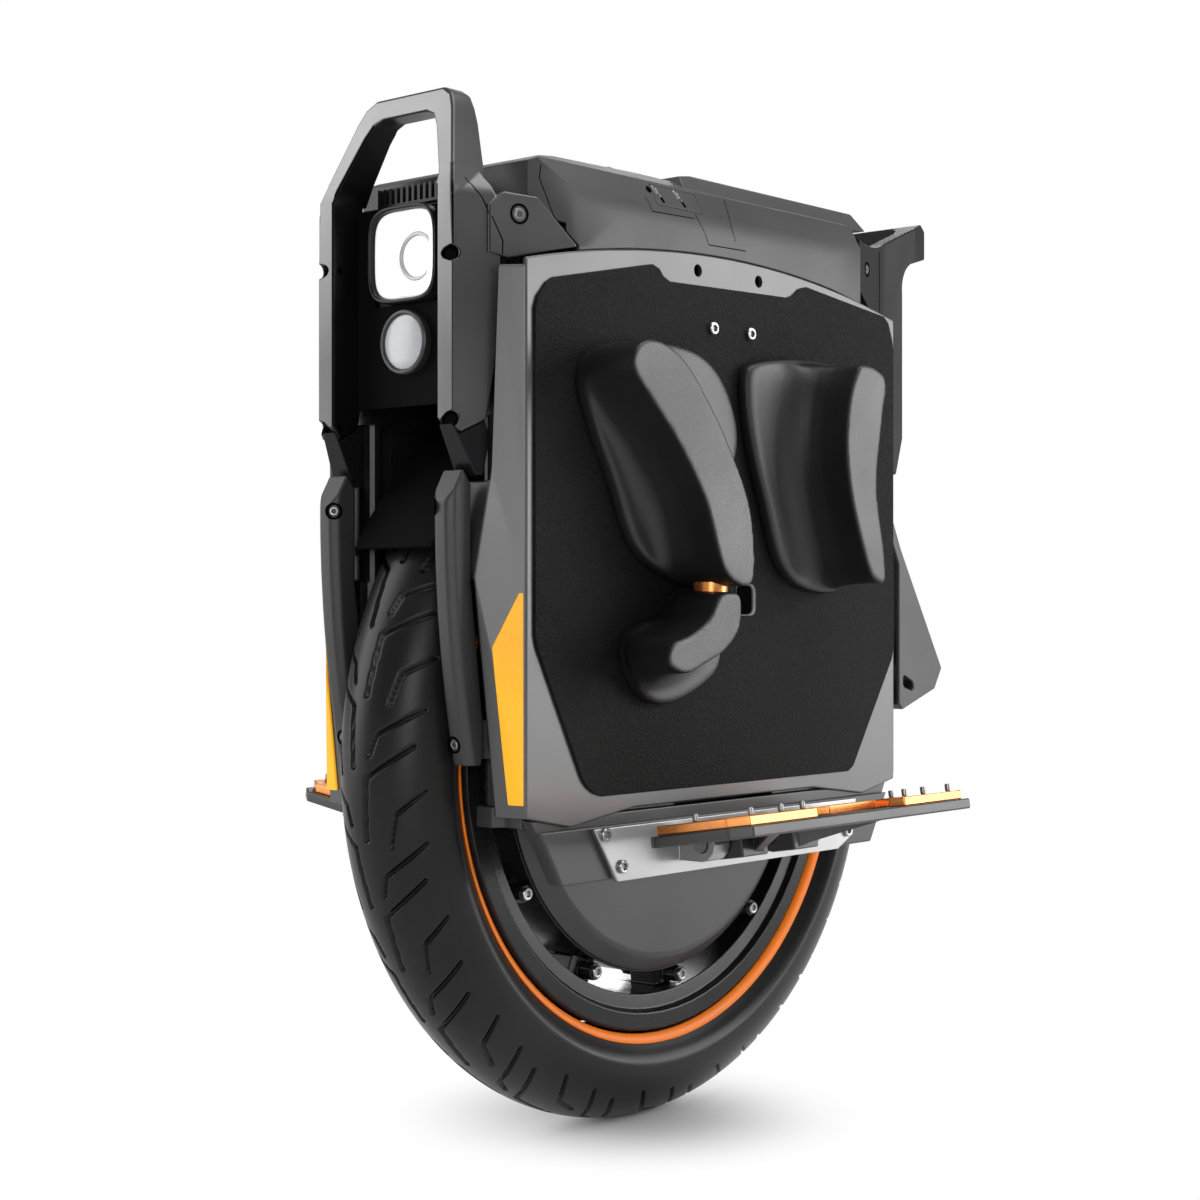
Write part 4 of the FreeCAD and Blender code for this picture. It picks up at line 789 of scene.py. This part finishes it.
def squared(half, ahead):
    """Rounded square about the headlight's axis, at a distance ahead of the lamp's seat."""
    loop = rounded_square(LAMP_SQUARE, 96)
    return [(LAMP_X + ahead, half * across, LAMP_Z + half * up) for across, up in loop]


def closed_piece(name, rows, body, slot, look, *nodes):
    """Piece over rows of loops, with its folds kept crisp."""
    mesh = grid_mesh(name, [rows], False, True)
    outward(mesh)
    mesh.set_sharp_from_angle(angle=math.radians(50))
    return piece_from(name, mesh, body, slot, look, *nodes)


def headlight():
    """Bright moulded lens that falls away from its rounded square edge to the projector's ring."""
    bezel = LAMP_HALF + 2
    bezel_profile = ((0.5, -22), (bezel, -22), (bezel, 9.6), (bezel - 0.5, 10.7), (bezel - 1.3, 11),
                     (bezel - 2.2, 10.6), (bezel - 2.7, 9.4), (bezel - 3.0, 2), (bezel - 3.0, -7),
                     (0.5, -7))
    shell = [squared(half, ahead) for half, ahead in bezel_profile]
    closed_piece("headlight_bezel", shell, "chassis", "gloss_black_plastic", LOOKS["black_aluminium"],
                 "headlight_housing")
    lens_profile = ((1.2, 3.2), (1.3, 7.2), (2.4, 8.0), (4.0, 7.6))
    lens = [squared(LAMP_HALF - inset, ahead) for inset, ahead in lens_profile]
    edge = lens[-1]
    bowl_depth = 10.6
    bowl_steps = 10
    for i in range(1, bowl_steps + 1):
        share = i / bowl_steps
        row = []
        for x, y, z in edge:
            draw = 1 + share * (PROJECTOR_R / math.hypot(y, z - LAMP_Z) - 1)
            row.append((x - bowl_depth * share ** 2, y * draw, LAMP_Z + (z - LAMP_Z) * draw))
        lens.append(row)
    closed_piece("headlight_moulded_lens", lens, "chassis", "clear_lens", LOOKS["clear_lens"],
                 "headlight_lens")
    rim = [(PROJECTOR_R + 0.4, -8), (PROJECTOR_R + 0.4, 0.4), (PROJECTOR_R - 0.4, 1.2),
           (PROJECTOR_R - 1.6, 1.2), (PROJECTOR_R - 2.2, 0.4), (PROJECTOR_R - 2.4, -1.0)]
    dome = [(PROJECTOR_R - 2.3, -1.0), (PROJECTOR_R - 3.4, 0.6), (PROJECTOR_R - 7, 2.4), (CLOSED, 3.6)]
    seat = (LAMP_X - 3.4, 0, LAMP_Z)
    turned("headlight_ring", [lathe(seat, (1, 0, 0), rim, FINE_STEPS)], "chassis", "silver_aluminium",
           LOOKS["silver_aluminium"])
    turned("headlight_eye", [lathe(seat, (1, 0, 0), dome, FINE_STEPS)], "chassis", "white_lamp",
           LOOKS["white_lamp"], "headlight_projector")


def marker():
    """Plain round marker lamp: a milky lens in a dark ring."""
    seat = (LAMP_X + 4.0, 0, MARKER_Z)
    rim = [(MARKER_R, 0), (MARKER_R, 4.6), (MARKER_R - 0.8, 5.6), (MARKER_R - 2.2, 5.8),
           (MARKER_R - 3.0, 4.8), (MARKER_R - 3.2, 2.5)]
    lens = [(MARKER_R - 3.0, 2.6), (MARKER_R - 3.4, 4.2), (MARKER_R - 6, 5.0), (MARKER_R - 12, 5.7),
            (CLOSED, 6.0)]
    turned("marker_ring", [lathe(seat, (1, 0, 0), rim, FINE_STEPS)], "chassis", "gloss_black_plastic",
           LOOKS["satin_black_metal"])
    turned("marker_lens", [lathe(seat, (1, 0, 0), lens, FINE_STEPS)], "chassis", "white_lamp", MILKY,
           "marker_lamp")


def pedal_tops():
    """Bronze frames and steel studs of both pedals; a stud is told by its small span."""
    stud_span = 20 * MM
    for side in ("left", "right"):
        piece = soften(side + "_pedal_grip", 0.9)
        piece.data.materials.append(LOOKS["steel"])
        work = bmesh.new()
        work.from_mesh(piece.data)
        for body in islands(work):
            if max(c.co.x for c in body) - min(c.co.x for c in body) < stud_span:
                for face in {face for corner in body for face in corner.link_faces}:
                    face.material_index = 1
        work.to_mesh(piece.data)
        work.free()


# Edge of a mat's slot from outside to inside, as (half length, half height, rise over the mat, shift ahead)
MAT_SLOT_EDGE = ((11.2, 10.7, 0.0, 0.0), (11.2, 10.7, 0.5, 0.0), (10.9, 10.4, 0.8, 0.0),
                 (8.9, 9.7, 0.7, 1.6), (8.6, 9.4, 0.3, 1.8))
MAT_SLOT_X = -15.0
MAT_SLOT_Z = 351.0


def mat_slots():
    """Slots in the mats beside the spools, with a satin edge that is wider at the back, round a near-black
    sheet just above the mat: painted shade in place of the slot's depth.
    """
    for name, side in (("left", 1), ("right", -1)):
        rows = []
        for half, tall, rise, ahead in MAT_SLOT_EDGE:
            rows.append([(MAT_SLOT_X + ahead + half * across, side * (MAT_Y + rise), MAT_SLOT_Z + tall * up)
                         for across, up in rounded_square(MAT_SLOT_SQUARE, 48)])
        centre = Vector((MAT_SLOT_X, rows[-1][0][1], MAT_SLOT_Z))
        floor = [rows[-1], [centre.lerp(Vector(point), CLOSED) for point in rows[-1]]]
        closed_piece(name + "_slot_edge", rows, "chassis", "satin_black_metal", LOOKS["satin_black_metal"])
        # Painted shade: a near-black sheet stands for the slot's depth.
        closed_piece(name + "_slot_floor", floor, "chassis", "gloss_black_plastic", SEAM_AND_PAINTED_SHADE)


# Places of seams and bolts on the left side, in millimetres
HOOP_PARTING = ((217, 60.75, 603), (210.5, 65.6, 590), (198, 70, 565), (199, 70, 540), (201.5, 69.5, 500),
                (204, 68.5, 470))
COVER_JOINTS = (
    ((79.4, 81.3, 607), (76.9, 85.2, 597.3), (34.1, 84.9, 598.4)),
    ((31.4, 76, 617), (31.4, 84.4, 600.4), (21.3, 87, 582.6), (-18.5, 87, 583.3)),
    ((-9.5, 75.5, 618.1), (-4.8, 84.2, 601.3), (-6.8, 87, 588)),
    ((171.3, 77.7, 613.9), (174.2, 82.1, 605.6), (163.6, 87, 578.8), (148.4, 87, 565.5)),
)
EAR_BOLT = (187.4, 74.2, 582.1)
HANDLE_BOLT = (-176, 82, 590)
GUARD_BOLTS = ((225, 49, 406), (215, 49, 265))
CHARGE_SOCKET = (43.6, 80, 609.6)
COVER_BORE = (72.2, 78.4, 612.6)
DOOR_SLOTS = (63.5, 42.0)


def door_line(x, start, end):
    """Part of a slanting line down the charge door, between two shares of its length."""
    top, foot = Vector((x + 2, 76.6, 615.8)), Vector((x - 2, 82.4, 605.0))
    return top.lerp(foot, start), top.lerp(foot, end)


def on_both(*places):
    """Places on the left side, and then the same on the right."""
    return [(x, side * y, z) for side in (1, -1) for x, y, z in places]


def small_parts(hoop, cover, rear_hoop, guards, door):
    """Seams, bolts and holes on the surfaces of the pieces given."""
    seam("hoop_parting", hoop, [[(x, side * y, z) for x, y, z in HOOP_PARTING] for side in (1, -1)])
    recessed_bolt("ear_bolts", hoop, on_both(EAR_BOLT))
    recessed_bolt("handle_bolts", rear_hoop, on_both(HANDLE_BOLT), 3.2)
    recessed_bolt("guard_bolts", guards, on_both(*GUARD_BOLTS), 3.0)
    joints = [[(x, side * y, z) for x, y, z in line] for line in COVER_JOINTS for side in (1, -1)]
    seam("cover_seams", cover, joints, 0.7)
    recessed_bolt("charge_socket", cover, [CHARGE_SOCKET], 1.4)
    # Painted shade: the cover's bore is a near-black disc on the surface.
    bore = [(2.6, -0.4), (2.5, 0.12), (CLOSED, 0.12)]
    spot, normal = surface_of(cover).find_nearest(Vector(COVER_BORE) * MM)[:2]
    turned("cover_bore", [lathe(spot / MM, normal, bore)], "chassis", "gloss_black_plastic", SEAM_AND_PAINTED_SHADE)
    # Painted shade: the door's slits are near-black strips on the surface.
    seam("door_slits", door, [door_line(x - 0.4, 0.4, 1.0) for x in DOOR_SLOTS], 2.8)
    clips = [door_line(x + 1.8, 0.0, 0.5) for x in DOOR_SLOTS]
    clips += [door_line(x - 0.4, 0.12, 0.66) for x in DOOR_SLOTS]
    seam("door_clips", door, clips, 1.3, 0.4, "steel", LOOKS["steel"])


# Stage, light and camera

FLOOR_R = 30.0
FLOOR_Z = -0.0005
SHADOW_SPAN = (0.02, 0.17)    # metres from the wheel's foot over which the floor turns to white paper


def stage():
    """Pale floor that takes the object's shadow and turns to white paper away from it."""
    bpy.ops.mesh.primitive_circle_add(vertices=96, radius=FLOOR_R, fill_type="NGON",
                                      location=(0, 0, FLOOR_Z))
    floor = bpy.context.object
    floor.name = "floor"
    material, nodes, links = new_material("pale_floor")
    shader = nodes["Principled BSDF"]
    shader.inputs["Base Color"].default_value = (0.90, 0.90, 0.90, 1)
    shader.inputs["Roughness"].default_value = 0.9
    shader.inputs["Specular IOR Level"].default_value = 0.1
    white = nodes.new("ShaderNodeEmission")
    white.inputs["Strength"].default_value = 1.0
    place = nodes.new("ShaderNodeTexCoord")
    away = nodes.new("ShaderNodeVectorMath")
    away.operation = "LENGTH"
    links.new(place.outputs["Object"], away.inputs[0])
    fade = nodes.new("ShaderNodeMapRange")
    fade.interpolation_type = "SMOOTHSTEP"
    fade.inputs["From Min"].default_value, fade.inputs["From Max"].default_value = SHADOW_SPAN
    links.new(away.outputs["Value"], fade.inputs["Value"])
    seen = combined(nodes, links, "MULTIPLY", fade.outputs["Result"], backdrop_rays(nodes, links))
    blend = nodes.new("ShaderNodeMixShader")
    links.new(seen, blend.inputs["Fac"])
    links.new(shader.outputs["BSDF"], blend.inputs[1])
    links.new(white.outputs["Emission"], blend.inputs[2])
    links.new(blend.outputs["Shader"], nodes["Material Output"].inputs["Surface"])
    floor.data.materials.append(material)


def backdrop_rays(nodes, links):
    """1 for rays that show the backdrop, straight or in metal and glass; 0 for those that only light."""
    rays = nodes.new("ShaderNodeLightPath")
    total = rays.outputs["Is Camera Ray"]
    for kind in ("Is Glossy Ray", "Is Transmission Ray"):
        total = combined(nodes, links, "MAXIMUM", total, rays.outputs[kind])
    return total


def world():
    """White paper to the eye, a dim room to light the object, and a brighter one in its gloss."""
    sky = bpy.data.worlds.new("studio")
    bpy.context.scene.world = sky
    sky.use_nodes = True
    nodes, links = sky.node_tree.nodes, sky.node_tree.links
    room = nodes["Background"]
    room.inputs["Color"].default_value = (0.85, 0.85, 0.86, 1)
    room.inputs["Strength"].default_value = ROOM_LIGHT
    paper = nodes.new("ShaderNodeBackground")
    paper.inputs["Color"].default_value = (1, 1, 1, 1)
    rays = nodes.new("ShaderNodeLightPath")
    level = remap(nodes, links, rays.outputs["Is Glossy Ray"], 0.0, 1.0, 1.0, GLOSS_ROOM)
    links.new(level, paper.inputs["Strength"])
    blend = nodes.new("ShaderNodeMixShader")
    links.new(backdrop_rays(nodes, links), blend.inputs["Fac"])
    links.new(room.outputs["Background"], blend.inputs[1])
    links.new(paper.outputs["Background"], blend.inputs[2])
    links.new(blend.outputs["Shader"], nodes["World Output"].inputs["Surface"])


def softbox(name, place, target, width, height, power):
    """Area lamp at a place in metres, turned to a target."""
    light = bpy.data.lights.new(name, "AREA")
    light.shape = "RECTANGLE"
    light.size = width
    light.size_y = height
    light.energy = power
    lamp = bpy.data.objects.new(name, light)
    bpy.context.collection.objects.link(lamp)
    lamp.location = place
    lamp.rotation_euler = (Vector(target) - Vector(place)).to_track_quat("-Z", "Y").to_euler()


def lights():
    """Softboxes; the left side mirrors side_box to the camera, and faces turned to it mirror near_box."""
    middle = (0, 0, 0.36)
    softbox("front_box", (1.50, -1.95, 1.30), middle, 1.7, 2.5, 44)
    softbox("top_box", (-0.2, 0.5, 2.2), middle, 1.5, 1.5, 40)
    softbox("side_box", (-1.95, 1.70, 0.70), middle, 1.3, 1.9, 52)
    softbox("rear_box", (-2.0, -1.4, 1.1), middle, 1.2, 1.6, 30)
    softbox("near_box", (2.2, 2.2, 0.95), middle, 1.0, 1.4, 26)


def camera():
    """Camera fitted to the photo."""
    lens = bpy.data.cameras.new("camera")
    lens.sensor_width = 36.0
    lens.lens = 64.86
    eye = bpy.data.objects.new("camera", lens)
    bpy.context.collection.objects.link(eye)
    eye.location = (1.1278, 0.9648, 0.3509)
    ahead = Vector((-0.7512, -0.6601, 0.0))
    eye.rotation_euler = ahead.to_track_quat("-Z", "Y").to_euler()
    bpy.context.scene.camera = eye
    bpy.context.scene.view_settings.view_transform = "Standard"


# Width of rounding of the nodes that keep their own finish, in millimetres
ROUNDED = {
    "left_side_panel": 1.6, "right_side_panel": 1.6, "grip_mats": 1.8, "left_hanger": 1.2,
    "right_hanger": 1.2, "hanger_plates": 0.8, "rear_fender": 2.0, "tail_light": 1.4, "rear_panel": 1.2,
    "rim": 1.0, "motor_covers": 2.5, "motor_shell": 0.8, "power_button": 1.2, "side_reflectors": 0.6,
}
ROUNDED_NARROW = {"left_pedal": 1.2, "right_pedal": 1.2, "hoop_foot_caps": 1.0, "top_lid": 0.5}
# Section of the painted stripe at the tyre's bead, as (radius, y)
STRIPE = [(FLANGE_R + 0.6, FLANGE_TIP + 0.6), (FLANGE_R + 1.2, FLANGE_TIP + 2.0),
          (FLANGE_R + 6.6, FLANGE_TIP + 6.4), (FLANGE_R + 7.2, FLANGE_TIP + 5.6)]


def dress():
    """Gives every node its finish, and the pieces that stand for most of them."""
    for node, part in frame["nodes"].items():
        part.data.materials.clear()
        part.data.materials.append(LOOKS[SLOT_OF[node]])
    tyre()
    ring("rim_stripes", STRIPE, "wheel", "orange_metal", ORANGE_PAINT)
    for node, width in ROUNDED.items():
        soften(node, width)
    for node, width in ROUNDED_NARROW.items():
        soften(node, width, narrow=True)
    # Painted shade: the front panel is near-black.
    frame["nodes"]["front_panel"].data.materials[0] = BLACK_PAINTED_SHADE
    frame["nodes"]["guide_rods"].data.materials[0] = LOOKS["black_aluminium"]
    # Painted shade: the mudguard is near-black.
    soften("mudguard", 0.6, look=BLACK_PAINTED_SHADE)
    door = soften("charge_door", 0.5, look=LOOKS["matte_black_plastic"])
    hoop = soften("front_hoop", 2.2, look=HOOP, cut=HOOP_ELBOW, reshape=eased_neck)
    cover = soften("top_cover", 0.9, narrow=True)
    handle = soften("rear_hoop", 1.4, look=HANDLE, narrow=True)
    guards = soften("guard_bars", 1.6)
    socket_heads("body_bolts", BOLT_R)
    socket_heads("wheel_bolts", BOLT_R)
    leg_pads()
    posts()
    coil_springs()
    pedal_tops()
    mat_slots()
    headlight()
    marker()
    small_parts(hoop, cover, handle, guards, door)


dress()
stage()
world()
lights()
camera()
